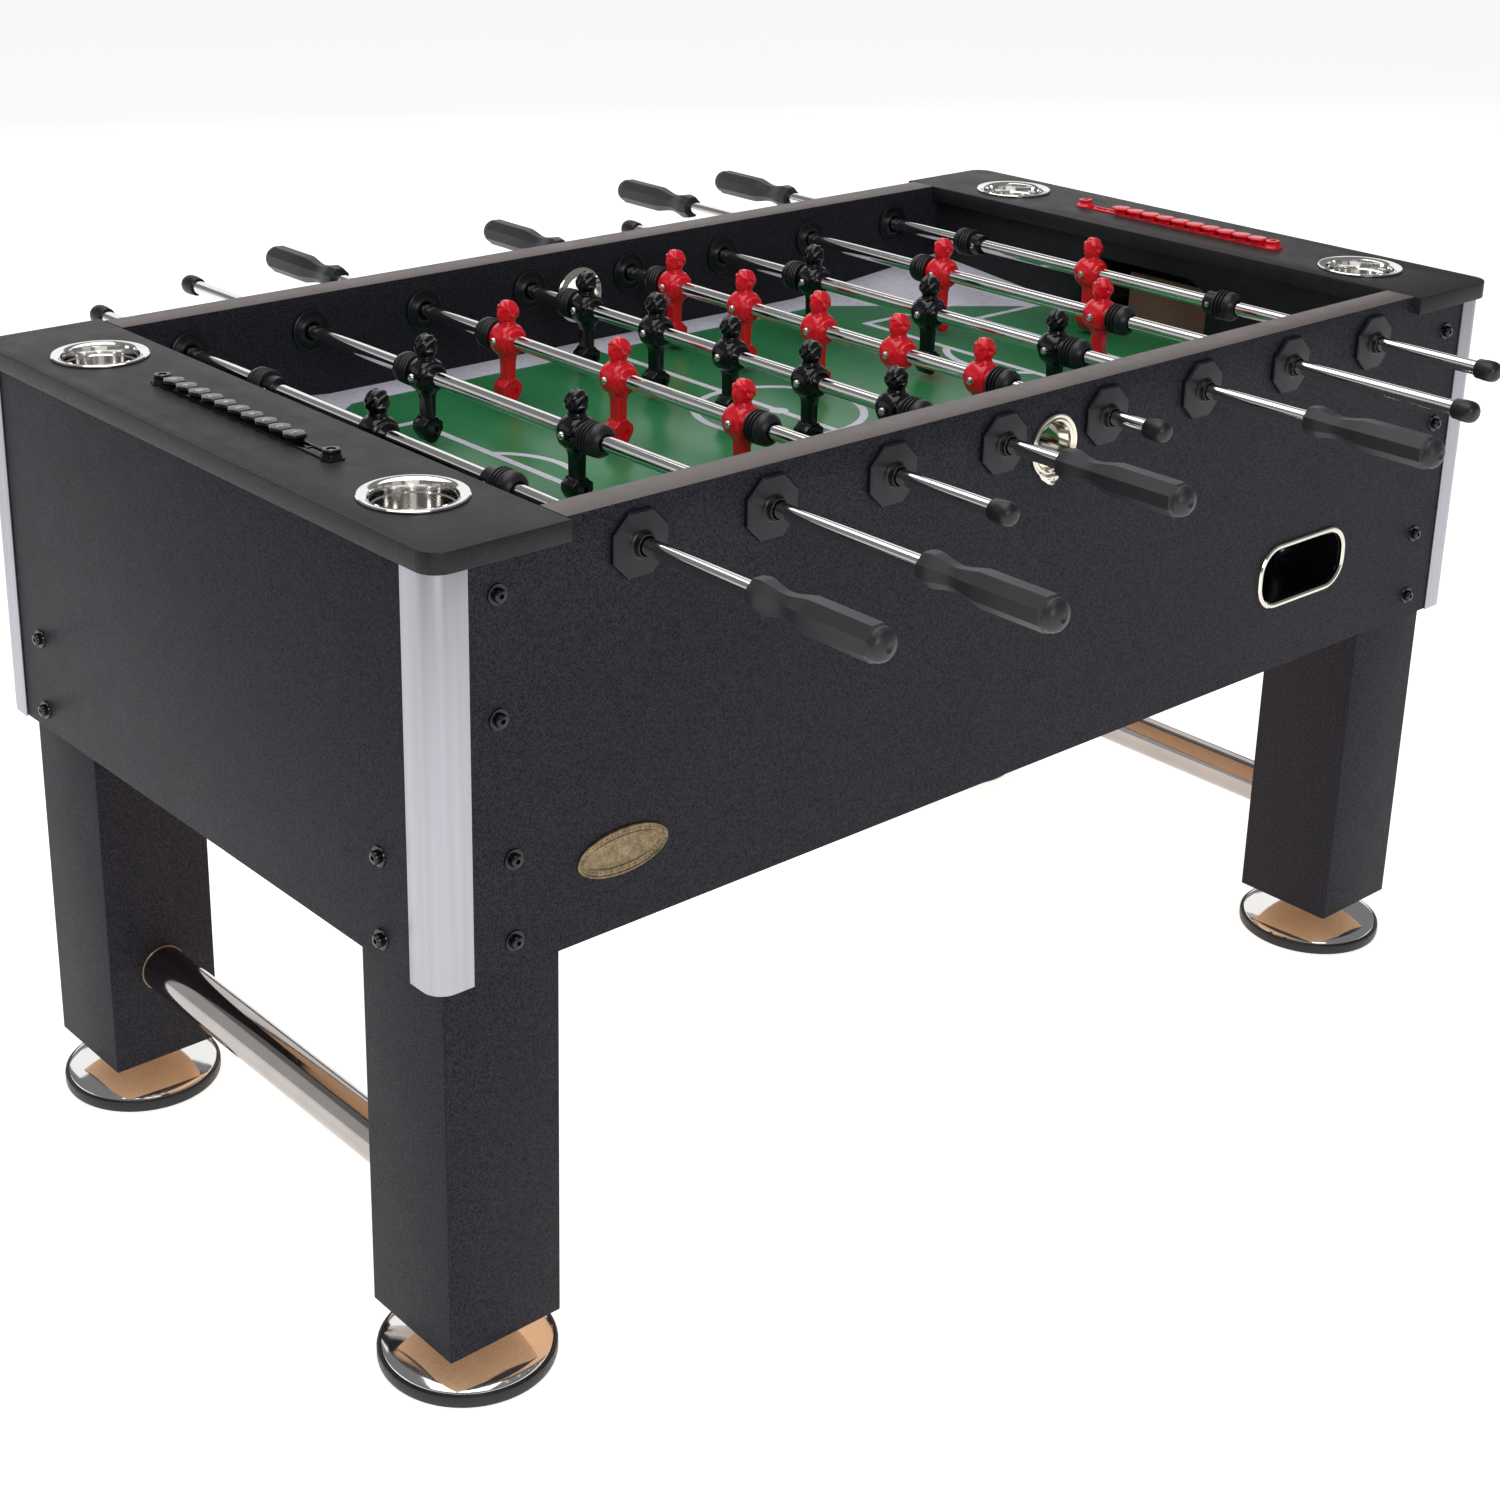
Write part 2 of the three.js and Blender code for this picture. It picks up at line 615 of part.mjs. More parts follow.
// Ten tabs in a row, pushed up against the back post.
function scorerTabs() {
  const back = SCORER_HALF_LENGTH - SCORER_POST - 1;
  const edge = [[TAB_WAIST, back]];
  for (let index = 0; index < SCORER_TABS; index += 1) {
    edge.push([TAB_HALF_WIDTH, back - TAB_PITCH * (index + 0.5)]);
    edge.push([TAB_WAIST, back - TAB_PITCH * (index + 1)]);
  }
  const otherEdge = edge.map(([x, y]) => [-x, y]).reverse();
  return plateXY(outline([...edge, ...otherEdge]), [2.5, TAB_TOP]);
}
for (const [side, turn, material] of [
  ["left", halfTurn, BLACK_PLASTIC],
  ["right", (s) => s, RED_PLASTIC],
]) {
  // On the right the tabs stand at the front post, and half a turn later, on the left, at the back.
  const tabs = onCap(scorerTabs().mirror([0, 1, 0]));
  place(`scorer_track_${side}`, turn(onCap(scorerTrack())), material);
  place(`scorer_tabs_${side}`, turn(tabs), material);
}

// ---------------------------------------------------------------- rods and players
// One moulded player at the rod's origin: boss on the rod, head above, leg and foot below.
function player() {
  const boss = barY(MAN_BOSS_RADIUS, [-MAN_HALF_WIDTH, MAN_HALF_WIDTH], 8);
  const rightSide = [
    [FOOT_LENGTH / 2 - 2, -FOOT_REACH], [FOOT_LENGTH / 2, 10 - FOOT_REACH], [7, -54], [6.5, -42],
    [12, -8], [7, MAN_BOSS_RADIUS], [7, MAN_BOSS_RADIUS + 3], [HEAD_RADIUS, HEAD_CENTRE],
    [7, HEAD_CENTRE + HEAD_RADIUS],
  ];
  const leftSide = rightSide.map(([x, z]) => [-x, z]).reverse();
  return join(boss, plateXZ(outline([...rightSide, ...leftSide]), [-MAN_HALF_DEPTH, MAN_HALF_DEPTH]));
}

function rodTravel(lineUp) {
  return BEARING_FACE - END_SLACK - (lineUp.bumper + BUMPER_HALF_LENGTH);
}

// A rod with its players, its back bumper, any stop collars and the rubber cap on its free end.
function rod(row) {
  const lineUp = LINE_UPS[row.men];
  const travel = rodTravel(lineUp);
  const handleStart = HUB_FACE + HANDLE_SLACK + travel;
  const capStart = HUB_FACE + ROD_CAP_SLACK + travel;
  const inCap = capStart + ROD_CAP_LENGTH / 2;
  const ends = [-(handleStart + ROD_IN_HANDLE), inCap];
  const freeEnd = turned(
    [[0, capStart], [ROD_CAP_RADIUS - 1.5, capStart], [ROD_CAP_RADIUS, capStart + 10],
      [ROD_CAP_RADIUS - 1, capStart + 20], [5, capStart + ROD_CAP_LENGTH],
      [0, capStart + ROD_CAP_LENGTH]],
    10,
  );
  const shaft = join(barY(ROD_RADIUS, ends, ROD_SIDES), freeEnd);
  const facing = row.handle < 0 ? shaft : shaft.mirror([0, 1, 0]);
  const bumper = barY(
    BUMPER_RADIUS,
    [lineUp.bumper - BUMPER_HALF_LENGTH, lineUp.bumper + BUMPER_HALF_LENGTH],
    10,
  );
  const men = lineUp.men.map((y) => player().translate([0, y, 0]));
  const pieces = [facing, bumper, ...men];
  if (row.men === 1) {
    const inner = lineUp.bumper - BUMPER_HALF_LENGTH - GAP;
    const span = [inner - STOP_COLLAR_LENGTH, inner];
    pieces.push(barY(STOP_COLLAR_RADIUS, [span[0], span[1] + JOIN], 8));
    pieces.push(barY(STOP_COLLAR_RADIUS, [-span[1], -span[0]], 8));
  }
  return join(...pieces);
}

// The loose rubber bumper between the front player, or the front collar, and the bearing.
function frontBumper(row) {
  const half = BUMPER_HALF_LENGTH;
  const profile = closed([
    [RUNNING_RADIUS, -half], [12, -half], [BUMPER_RADIUS, 3 - half], [BUMPER_RADIUS, half],
    [RUNNING_RADIUS, half],
  ]);
  return turned(profile, ROD_SIDES).translate([0, -LINE_UPS[row.men].bumper, 0]);
}

// An eight-sided handle with a flared collar, a narrow neck and a long grip.
function handle(row) {
  const bore = ROD_RADIUS + 1.1;
  const floor = ROD_IN_HANDLE + 2;
  const grip = turned(
    [
      [0, floor], [bore, floor], [bore, 0], [15, 0], [16.5, 10], [11.5, 38], [17, 66],
      [16.5, HANDLE_LENGTH - 12], [11, HANDLE_LENGTH], [0, HANDLE_LENGTH],
    ],
    8,
  );
  const start = HUB_FACE + HANDLE_SLACK + rodTravel(LINE_UPS[row.men]);
  const back = grip.translate([0, start, 0]);
  return row.handle > 0 ? back : back.mirror([0, 1, 0]);
}

const TEAM = { black: BLACK_PLASTIC, red: RED_PLASTIC };
RODS.forEach((row, index) => {
  const at = [rodX(index), row.rest, ROD_Z];
  place(`rod_${index + 1}`, rod(row).translate(at), TEAM[row.team]);
  place(`bumper_${index + 1}`, frontBumper(row).translate(at), RUBBER);
  place(`handle_${index + 1}`, handle(row).translate(at), BLACK_PLASTIC);
});

export default table;
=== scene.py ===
"""A foosball table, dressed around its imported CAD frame.

Shapes are worked out in millimetres and turned into metres when a piece is made. X runs along the
table, Y across it with the front at -Y, and Z is up from the floor.
"""

import json
import math

import bmesh
import bpy
from mathutils import Matrix, Vector

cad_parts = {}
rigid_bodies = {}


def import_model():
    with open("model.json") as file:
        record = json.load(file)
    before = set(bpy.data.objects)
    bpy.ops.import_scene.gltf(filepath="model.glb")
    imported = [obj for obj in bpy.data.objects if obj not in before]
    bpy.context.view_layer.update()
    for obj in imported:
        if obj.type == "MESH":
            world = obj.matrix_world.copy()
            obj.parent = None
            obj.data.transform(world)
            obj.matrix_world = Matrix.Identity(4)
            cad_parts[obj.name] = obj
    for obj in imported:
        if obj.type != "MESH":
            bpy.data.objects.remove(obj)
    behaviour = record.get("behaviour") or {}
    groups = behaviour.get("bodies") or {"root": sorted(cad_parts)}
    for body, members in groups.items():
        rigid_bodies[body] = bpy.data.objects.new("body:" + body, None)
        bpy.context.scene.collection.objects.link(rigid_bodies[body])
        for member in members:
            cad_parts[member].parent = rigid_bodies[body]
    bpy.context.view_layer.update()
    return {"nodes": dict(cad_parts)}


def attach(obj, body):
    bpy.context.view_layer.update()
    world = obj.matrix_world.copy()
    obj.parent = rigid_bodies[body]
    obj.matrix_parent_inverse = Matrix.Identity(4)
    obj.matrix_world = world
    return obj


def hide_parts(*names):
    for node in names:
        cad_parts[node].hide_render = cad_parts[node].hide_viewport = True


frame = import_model()

MM = 0.001
TAU = 2 * math.pi

# ---------------------------------------------------------------- sizes in millimetres
LENGTH, WIDTH, HEIGHT = 1510, 816, 858  # over the caps and up to the rails
BOARD = 19
GAP = 0.3  # between neighbours that touch in the real table
CAP_WIDTH, CAP_THICKNESS, CAP_CORNER = 144, 20, 22
CAP_BOTTOM = HEIGHT - CAP_THICKNESS
CAP_INNER_X = LENGTH / 2 - CAP_WIDTH
SIDE_OUTER = WIDTH / 2 - 9
SKIN_INNER = SIDE_OUTER - BOARD
SIDE_INNER = SKIN_INNER - BOARD
END_OUTER = LENGTH / 2 - 4
END_INNER = END_OUTER - BOARD
PANEL_BOTTOM = 452
LINER_BOTTOM = 700
TRIM_WING, TRIM_SHEET, TRIM_RADIUS = 40, 1.5, 20
GOAL_FACE_X = CAP_INNER_X + 11
GOAL_BACK_X = GOAL_FACE_X + 12
FIELD_TOP, FIELD_THICKNESS = 740, 9
GOAL_HALF_WIDTH, GOAL_TOP = 101, 812
GOAL_CHAMFER, GOAL_CHAMFER_DROP = 30, 14
RETURN_X, RETURN_Z = 445, 568
RETURN_WIDTH, RETURN_HEIGHT, RETURN_CORNER, RETURN_DEPTH = 160, 76, 33, 78
TRAY_FLOOR, TRAY_HEIGHT = 690, 38
SERVE_Z, SERVE_BORE, ROD_BORE = 800, 28.2, 13.2
LEG, LEG_BOTTOM, LEG_TOP = 127, 52, 640
LEG_X = END_INNER - GAP - LEG / 2
LEG_Y = SKIN_INNER - GAP - LEG / 2
CROSS_TUBE_Z, CROSS_TUBE_RADIUS = 163, 25
CAP_CENTRE_X, CUP_Y, CUP_BORE = 680, 277, 42.5
SCORER_HALF, SCORER_POST, TAB_PITCH, TAB_COUNT = 160, 20, 24, 10
SCORER_SLOT, TAB_TOP = 16.6, 10
ROD_PITCH, ROD_Z, ROD_RADIUS = 152.4, 818, 7.95
BEARING_FACE = SIDE_INNER - 6
HUB_FACE = SIDE_OUTER + 14
BUMPER_HALF, BUMPER_CLEARANCE = 14, 2
COLLAR_LENGTH = 16
HANDLE_CLEARANCE, ROD_IN_HANDLE = 8, 24  # past the hub when the rod is pushed in
END_CAP_CLEARANCE, ROD_IN_END_CAP = 7, 20
# for each number of players: their places along the rod, and how far out its bumpers stop
LINE_UPS = {
    1: {"men": [0], "bumper": 212},
    2: {"men": [-127.5, 127.5], "bumper": 159.5},
    3: {"men": [-195, 0, 195], "bumper": 227},
    5: {"men": [-252, -126, 0, 126, 252], "bumper": 284},
}
# for each rod: players, team, side of the handle, and how far along Y the rod stands at rest
RODS = [
    (1, "black", -1, -3),
    (2, "black", -1, 7),
    (3, "red", 1, 3),
    (5, "black", -1, -2),
    (5, "red", 1, 20),
    (3, "black", -1, -5),
    (2, "red", 1, -7),
    (1, "red", 1, 11),
]
CORNERS = {
    "front_left": (-1, -1),
    "front_right": (1, -1),
    "back_left": (-1, 1),
    "back_right": (1, 1),
}
FIELD_EDGE = 313  # from the middle of the field to its white strips
RAMP_X, RAMP_Y, RAMP_HEIGHT = 360, 112, 24
LINE, LINE_RISE, LINE_SINK = 9, 0.25, 0.2  # white lines: width, and how far above and below the board
ARC_RISE, ARC_STEPS = 0.06, 48  # arcs stand a hair above the straight lines that they cross
CENTRE_CIRCLE, CENTRE_SPOT = 95, 11
BOXES = ((345, 212), (475, 144))  # distance from the middle, and half width
GOAL_ARC_X, GOAL_ARC_RADIUS, GOAL_ARC_HALF_ANGLE = 396, 88, 56
SIDE_BOLTS = ((683, 806), (683, 694), (669, 559), (669, 480))  # X and Z
END_BOLTS = ((-316, 555), (-316, 474), (316, 555), (316, 474))  # Y and Z
PLAQUE_X, PLAQUE_Z, PLAQUE_HALF_LENGTH, PLAQUE_HALF_HEIGHT = -548, 529, 52, 23


# ---------------------------------------------------------------- materials
def surface(
    name, color, roughness, metallic=0.0, tint=0.12, tint_scale=40.0, speckle=0.0,
    speckle_scale=800.0, spread=0.05, grain=0.0, grain_scale=800.0, stretch=(1, 1, 1),
    specular=0.5,
):
    """A procedural finish: broad tint, fine speckle, uneven gloss and a grain in relief."""
    material = bpy.data.materials.new(name)
    material.use_nodes = True
    nodes, links = material.node_tree.nodes, material.node_tree.links
    shader = nodes["Principled BSDF"]
    shader.inputs["Metallic"].default_value = metallic
    shader.inputs["Specular IOR Level"].default_value = specular
    coordinates = nodes.new("ShaderNodeTexCoord")
    mapping = nodes.new("ShaderNodeMapping")
    mapping.inputs["Scale"].default_value = stretch
    links.new(coordinates.outputs["Object"], mapping.inputs["Vector"])

    def noise(scale, detail):
        """A noise pattern over the whole piece."""
        node = nodes.new("ShaderNodeTexNoise")
        node.inputs["Scale"].default_value = scale
        node.inputs["Detail"].default_value = detail
        links.new(mapping.outputs["Vector"], node.inputs["Vector"])
        return node.outputs["Fac"]

    def span(source, low, high):
        """The middle of a noise pattern, stretched between two values."""
        node = nodes.new("ShaderNodeMapRange")
        node.inputs["From Min"].default_value = 0.3
        node.inputs["From Max"].default_value = 0.7
        node.inputs["To Min"].default_value = low
        node.inputs["To Max"].default_value = high
        links.new(source, node.inputs["Value"])
        return node.outputs["Result"]

    def multiplied(a, b):
        """The product of two values."""
        node = nodes.new("ShaderNodeMath")
        node.operation = "MULTIPLY"
        links.new(a, node.inputs[0])
        links.new(b, node.inputs[1])
        return node.outputs["Value"]

    broad = noise(tint_scale, 3)
    shade = span(broad, 1 - tint, 1 + tint)
    if speckle:
        shade = multiplied(shade, span(noise(speckle_scale, 2), 1 - speckle, 1 + speckle))
    paint = nodes.new("ShaderNodeVectorMath")
    paint.operation = "SCALE"
    paint.inputs[0].default_value = color
    links.new(shade, paint.inputs["Scale"])
    links.new(paint.outputs["Vector"], shader.inputs["Base Color"])
    gloss = span(noise(tint_scale * 4, 4), max(roughness - spread, 0.02), roughness + spread)
    links.new(gloss, shader.inputs["Roughness"])
    if grain:
        relief = nodes.new("ShaderNodeBump")
        relief.inputs["Strength"].default_value = grain
        relief.inputs["Distance"].default_value = 0.0002
        links.new(noise(grain_scale, 3), relief.inputs["Height"])
        links.new(relief.outputs["Normal"], shader.inputs["Normal"])
    return material


LAMINATE = surface(
    "leather_grain_laminate", (0.0195, 0.0185, 0.0245), 0.5, tint=0.05, tint_scale=6, speckle=0.85,
    speckle_scale=620, spread=0.02, grain=0.8, grain_scale=560, specular=0.1,
)
CAP_TOP = surface(
    "charcoal_cap_laminate", (0.033, 0.029, 0.0275), 0.5, tint=0.06, tint_scale=8, speckle=0.35,
    grain=0.5, grain_scale=700, specular=0.15,
)
CAP_EDGE = surface(
    "dark_edge_band", (0.014, 0.013, 0.015), 0.45, tint=0.15, tint_scale=60, speckle=0.6,
    speckle_scale=650, grain=0.6, grain_scale=600, specular=0.25,
)
RAIL_TOP = surface(
    "taupe_rail_laminate", (0.125, 0.103, 0.095), 0.45, tint=0.06, tint_scale=10, speckle=0.12,
    speckle_scale=900, grain=0.25, specular=0.3,
)
RAW_FIBRE = {
    "roughness": 0.75, "tint": 0.06, "tint_scale": 30, "speckle": 0.12, "speckle_scale": 420,
    "grain": 0.4, "grain_scale": 500, "specular": 0.2,
}
MDF = surface("raw_board", (0.72, 0.46, 0.28), **RAW_FIBRE)
# a lighter copy of the raw board: painted light that makes up for the shade inside the goal pocket
PAINTED_LIGHT_BOARD = surface("raw_board_painted_lighter", (0.92, 0.62, 0.44), **RAW_FIBRE)
FIELD = surface(
    "green_field", (0.026, 0.195, 0.068), 0.28, tint=0.05, tint_scale=7, speckle=0.03,
    speckle_scale=500, spread=0.01, specular=0.3,
)
WHITE = surface(
    "white_field_print", (0.62, 0.61, 0.70), 0.3, tint=0.03, tint_scale=20,
)
CHROME = surface(
    "polished_chrome", (0.80, 0.785, 0.76), 0.09, metallic=1.0, tint=0.02, tint_scale=25,
    spread=0.015,
)
WARM_CHROME = surface(
    "nickel_plate", (0.76, 0.72, 0.63), 0.1, metallic=1.0, tint=0.06, tint_scale=35,
    spread=0.035,
)
DARK_CHROME = surface(
    "dark_polished_chrome", (0.42, 0.39, 0.37), 0.1, metallic=1.0, tint=0.05, tint_scale=20,
    spread=0.03,
)
ALUMINIUM = surface(
    "satin_aluminium", (0.45, 0.45, 0.485), 0.36, metallic=0.75, tint=0.05, tint_scale=160,
    spread=0.06, grain=0.12, grain_scale=900, stretch=(1, 1, 0.012),
)
BLACK_GLOSS = surface(
    "black_gloss_plastic", (0.0035, 0.0035, 0.005), 0.14, tint=0.2, tint_scale=90, spread=0.03,
    grain=0.04, grain_scale=300, specular=0.45,
)
RED_GLOSS = surface(
    "red_gloss_plastic", (0.80, 0.007, 0.020), 0.18, tint=0.05, tint_scale=70, spread=0.03,
    grain=0.04, grain_scale=300,
)
NYLON = surface(
    "black_nylon", (0.0055, 0.0055, 0.0085), 0.33, tint_scale=70, spread=0.03, grain=0.08,
    grain_scale=900, specular=0.35,
)
RUBBER = surface(
    "black_rubber", (0.010, 0.010, 0.012), 0.4, tint=0.2, tint_scale=80, spread=0.1, grain=0.25,
    grain_scale=1000, specular=0.45,
)
GRIP = surface(
    "grey_grip_plastic", (0.021, 0.021, 0.0245), 0.43, tint=0.05, tint_scale=50, spread=0.015,
    grain=0.05, grain_scale=900, specular=0.4,
)
BRONZE = surface(
    "aged_bronze", (0.22, 0.165, 0.095), 0.36, metallic=0.9, tint=0.35, tint_scale=90, speckle=0.3,
    speckle_scale=500, spread=0.12, grain=0.4, grain_scale=400,
)
DIGIT_WHITE = surface("digit_white", (0.75, 0.74, 0.72), 0.4, tint=0.05, tint_scale=100)


# ---------------------------------------------------------------- shapes
def ring(radius, height, steps, sides=0, axis="Z", centre=(0, 0, 0)):
    """Points round an axis, on a circle or on a many-sided outline with a flat side up."""
    points = []
    for k in range(steps):
        angle = TAU * k / steps
        reach = radius
        if sides:
            wedge = TAU / sides
            off_flat = (angle + wedge / 2) % wedge - wedge / 2
            reach = radius * math.cos(wedge / 2) / math.cos(off_flat)
        a, b = reach * math.cos(angle), reach * math.sin(angle)
        local = {"Z": (a, b, height), "Y": (a, height, b), "X": (height, a, b)}[axis]
        points.append(Vector(local) + Vector(centre))
    return points


def arc(x, y, radius, start, stop, steps):
    """Points round a centre, between two angles in degrees."""
    angles = [math.radians(start + (stop - start) * k / steps) for k in range(steps + 1)]
    return [(x + radius * math.cos(a), y + radius * math.sin(a)) for a in angles]


def rounded(width, height, radius, per_corner=8):
    """Points of a rectangle with round corners, about its centre."""
    x, y = width / 2 - radius, height / 2 - radius
    points = []
    for turn, (a, b) in enumerate([(1, 1), (-1, 1), (-1, -1), (1, -1)]):
        points += arc(a * x, b * y, radius, 90 * turn, 90 * (turn + 1), per_corner)
    return points


def loft(rings, loop=False):
    """A shape of faces between rings of equal length, closed by its two ends or back to its start."""
    shape = bmesh.new()
    rows = [[shape.verts.new(p) for p in points] for points in rings]
    bands = list(zip(rows, rows[1:]))
    if loop:
        bands.append((rows[-1], rows[0]))
    for low, high in bands:
        for k in range(len(low)):
            after = (k + 1) % len(low)
            shape.faces.new((low[k], low[after], high[after], high[k]))
    if not loop:
        shape.faces.new(rows[0][::-1])
        shape.faces.new(rows[-1])
    return shape


def painted(shape):
    """A shape whose faces all take the second material."""
    for face in shape.faces:
        face.material_index = 1
    return shape


def revolved(profile, steps=32, axis="Z", loop=False, centre=(0, 0, 0)):
    """A turned shape from (radius, height) or (radius, height, sides) stations."""
    rings = [ring(p[0], p[1], steps, p[2] if len(p) > 2 else 0, axis, centre) for p in profile]
    return loft(rings, loop)


def faced(shape):
    """A shape with its faces turned outwards."""
    bmesh.ops.recalc_face_normals(shape, faces=shape.faces[:])
    return shape


def as_mesh(shape, name):
    """A shape as a mesh. The shape is used up."""
    mesh = bpy.data.meshes.new(name)
    shape.to_mesh(mesh)
    shape.free()
    return mesh


def shown(name, data):
    """An object in the scene."""
    thing = bpy.data.objects.new(name, data)
    bpy.context.scene.collection.objects.link(thing)
    return thing


def soften(shape, width, steps=2, above=30):
    """Bevels the edges that are sharper than an angle in degrees."""
    faced(shape)
    limit = math.radians(above)
    sharp = [e for e in shape.edges if e.is_manifold and e.calc_face_angle(0) > limit]
    bmesh.ops.bevel(
        shape, geom=sharp, offset=width, segments=steps, profile=0.5, affect="EDGES",
        clamp_overlap=True,
    )
    return shape


def prism(outline, low, high, plane="XY", bevel=0.0, steps=2):
    """An outline made thick along the axis that its plane leaves."""
    order = {"XY": (0, 1, 2), "XZ": (0, 2, 1), "YZ": (1, 2, 0)}[plane]

    def at(point, depth):
        """A point of the outline at a depth."""
        place = [0, 0, 0]
        place[order[0]], place[order[1]], place[order[2]] = point[0], point[1], depth
        return place

    shape = loft([[at(p, low) for p in outline], [at(p, high) for p in outline]])
    return soften(shape, bevel, steps) if bevel else shape


def board(x, y, z, bevel=1.0, steps=2):
    """A board between two values on each axis, with eased edges."""
    outline = [(x[0], y[0]), (x[1], y[0]), (x[1], y[1]), (x[0], y[1])]
    return prism(outline, z[0], z[1], bevel=bevel, steps=steps)


def merged(*shapes):
    """Several shapes as one. The parts are used up."""
    whole = shapes[0]
    for part in shapes[1:]:
        holder = as_mesh(part, "part")
        whole.from_mesh(holder)
        bpy.data.meshes.remove(holder)
    return whole


def moved(shape, offset=(0, 0, 0), turn=0.0):
    """A shape turned about Z by an angle in degrees, and then moved."""
    matrix = Matrix.Translation(offset) @ Matrix.Rotation(math.radians(turn), 4, "Z")
    bmesh.ops.transform(shape, matrix=matrix, verts=shape.verts[:])
    return shape


def temporary(shape):
    """An object that holds a shape while modifiers work on it."""
    return shown("temporary", as_mesh(faced(shape), "temporary"))


def worked(thing):
    """What an object looks like with its modifiers, as a new shape. The object is removed."""
    bpy.context.view_layer.update()
    graph = bpy.context.evaluated_depsgraph_get()
    result = bpy.data.meshes.new_from_object(thing.evaluated_get(graph))
    shape = bmesh.new()
    shape.from_mesh(result)
    bpy.data.meshes.remove(result)
    drop(thing)
    return shape


def drop(thing):
    """Removes an object and its mesh or curve."""
    data = thing.data
    bpy.data.objects.remove(thing)
    bpy.data.batch_remove([data])


def carved(shape, *cutters):
    """A shape with the cutters taken away."""
    body = temporary(shape)
    tool = temporary(merged(*cutters))
    cut = body.modifiers.new("cut", "BOOLEAN")
    cut.object = tool
    cut.operation = "DIFFERENCE"
    cut.solver = "EXACT"
    result = worked(body)
    drop(tool)
    return result


def mesh_of(shape, name, materials, smooth=32):
    """The shape as a mesh in metres, smooth except at edges sharper than an angle in degrees."""
    bmesh.ops.scale(faced(shape), vec=(MM, MM, MM), verts=shape.verts[:])
    mesh = as_mesh(shape, name)
    for material in materials:
        mesh.materials.append(material)
    mesh.polygons.foreach_set("use_smooth", [True] * len(mesh.polygons))
    mesh.set_sharp_from_angle(angle=math.radians(smooth))
    return mesh


def piece(name, mesh, body, replaces=(), place=None):
    """Puts a mesh in the scene as a piece of the table."""
    thing = shown(name, mesh)
    if place:
        thing.matrix_world = place
    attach(thing, body)
    if replaces:
        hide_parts(*replaces)
    return thing


def fixed(name, shape, materials, replaces=(), smooth=32):
    """A piece that belongs to the cabinet."""
    return piece(name, mesh_of(shape, name, materials, smooth), "cabinet", replaces)


def paint_where(shape, test):
    """Gives the second material to faces that pass a test of their normal and their centre."""
    for face in faced(shape).faces:
        if test(face.normal, face.calc_center_median()):
            face.material_index = 1
    return shape


def rod_x(number):
    """Where a rod crosses the table."""
    return (number - (len(RODS) + 1) / 2) * ROD_PITCH


# ---------------------------------------------------------------- camera, light and floor
CAMERA_PLACE = (-1.7855, -1.9118, 1.5317)
CAMERA_HEADING, CAMERA_DIP, CAMERA_ROLL = 40.92, 20.14, 0.94
CAMERA_LENS = 58.6
CAMERA_SHIFT = (0.04, -0.1335)
# name, place, point lit, size and watts of each soft light, in metres
LIGHTS = (
    ("overhead", (-0.3, 0.3, 3.2), (0, 0, 0.7), (3.4, 2.2), 50),
    ("backdrop", (2.4, 4.6, 2.7), (0, 0, 0.9), (7.5, 3.0), 62),
    ("front", (-1.9, -4.1, 2.4), (-0.2, 0, 0.6), (2.0, 1.6), 54),
    ("back_left", (-4.4, 3.3, 1.7), (-0.4, 0, 0.5), (4.4, 3.2), 18),
)
WORLD_COLOR, WORLD_STRENGTH = (0.94, 0.96, 1.0, 1), 0.22
FLOOR_REACH, FLOOR_GLOW = 40, 0.74


def make_camera():
    """A camera from its place, its heading east of +Y, its dip and its roll in degrees."""
    heading, dip, roll = (math.radians(v) for v in (CAMERA_HEADING, CAMERA_DIP, CAMERA_ROLL))
    ahead = Vector((
        math.sin(heading) * math.cos(dip), math.cos(heading) * math.cos(dip), -math.sin(dip),
    ))
    right = Vector((math.cos(heading), -math.sin(heading), 0))
    up = right.cross(ahead)
    rolled_right = right * math.cos(roll) + up * math.sin(roll)
    rolled_up = up * math.cos(roll) - right * math.sin(roll)
    data = bpy.data.cameras.new("camera")
    data.sensor_width = 36
    data.lens = CAMERA_LENS
    data.shift_x, data.shift_y = CAMERA_SHIFT
    camera = shown("camera", data)
    columns = Matrix((rolled_right, rolled_up, -ahead)).transposed().to_4x4()
    camera.matrix_world = Matrix.Translation(CAMERA_PLACE) @ columns
    bpy.context.scene.camera = camera


def make_light(name, place, target, size, watts):
    """A soft rectangular light that faces a point."""
    data = bpy.data.lights.new(name, "AREA")
    data.shape = "RECTANGLE"
    data.size, data.size_y = size
    data.energy = watts
    light = shown(name, data)
    light.location = place
    light.rotation_euler = (Vector(target) - Vector(place)).to_track_quat("-Z", "Y").to_euler()


def make_studio():
    """Soft white light and a pale floor that glows a little."""
    world = bpy.data.worlds.new("studio")
    world.use_nodes = True
    background = world.node_tree.nodes["Background"]
    background.inputs["Color"].default_value = WORLD_COLOR
    background.inputs["Strength"].default_value = WORLD_STRENGTH
    bpy.context.scene.world = world
    for row in LIGHTS:
        make_light(*row)
    floor_material = surface("pale_floor", (0.9, 0.9, 0.9), 0.6, tint=0.004, tint_scale=3)
    shader = floor_material.node_tree.nodes["Principled BSDF"]
    shader.inputs["Emission Color"].default_value = (1, 1, 1, 1)
    shader.inputs["Emission Strength"].default_value = FLOOR_GLOW
    mesh = bpy.data.meshes.new("floor")
    corners = [(x * FLOOR_REACH, y * FLOOR_REACH, 0) for x, y in ((-1, -1), (1, -1), (1, 1), (-1, 1))]
    mesh.from_pydata(corners, [], [(0, 1, 2, 3)])
    mesh.materials.append(floor_material)
    shown("floor", mesh)
    bpy.context.scene.view_settings.view_transform = "Standard"


make_camera()
make_studio()


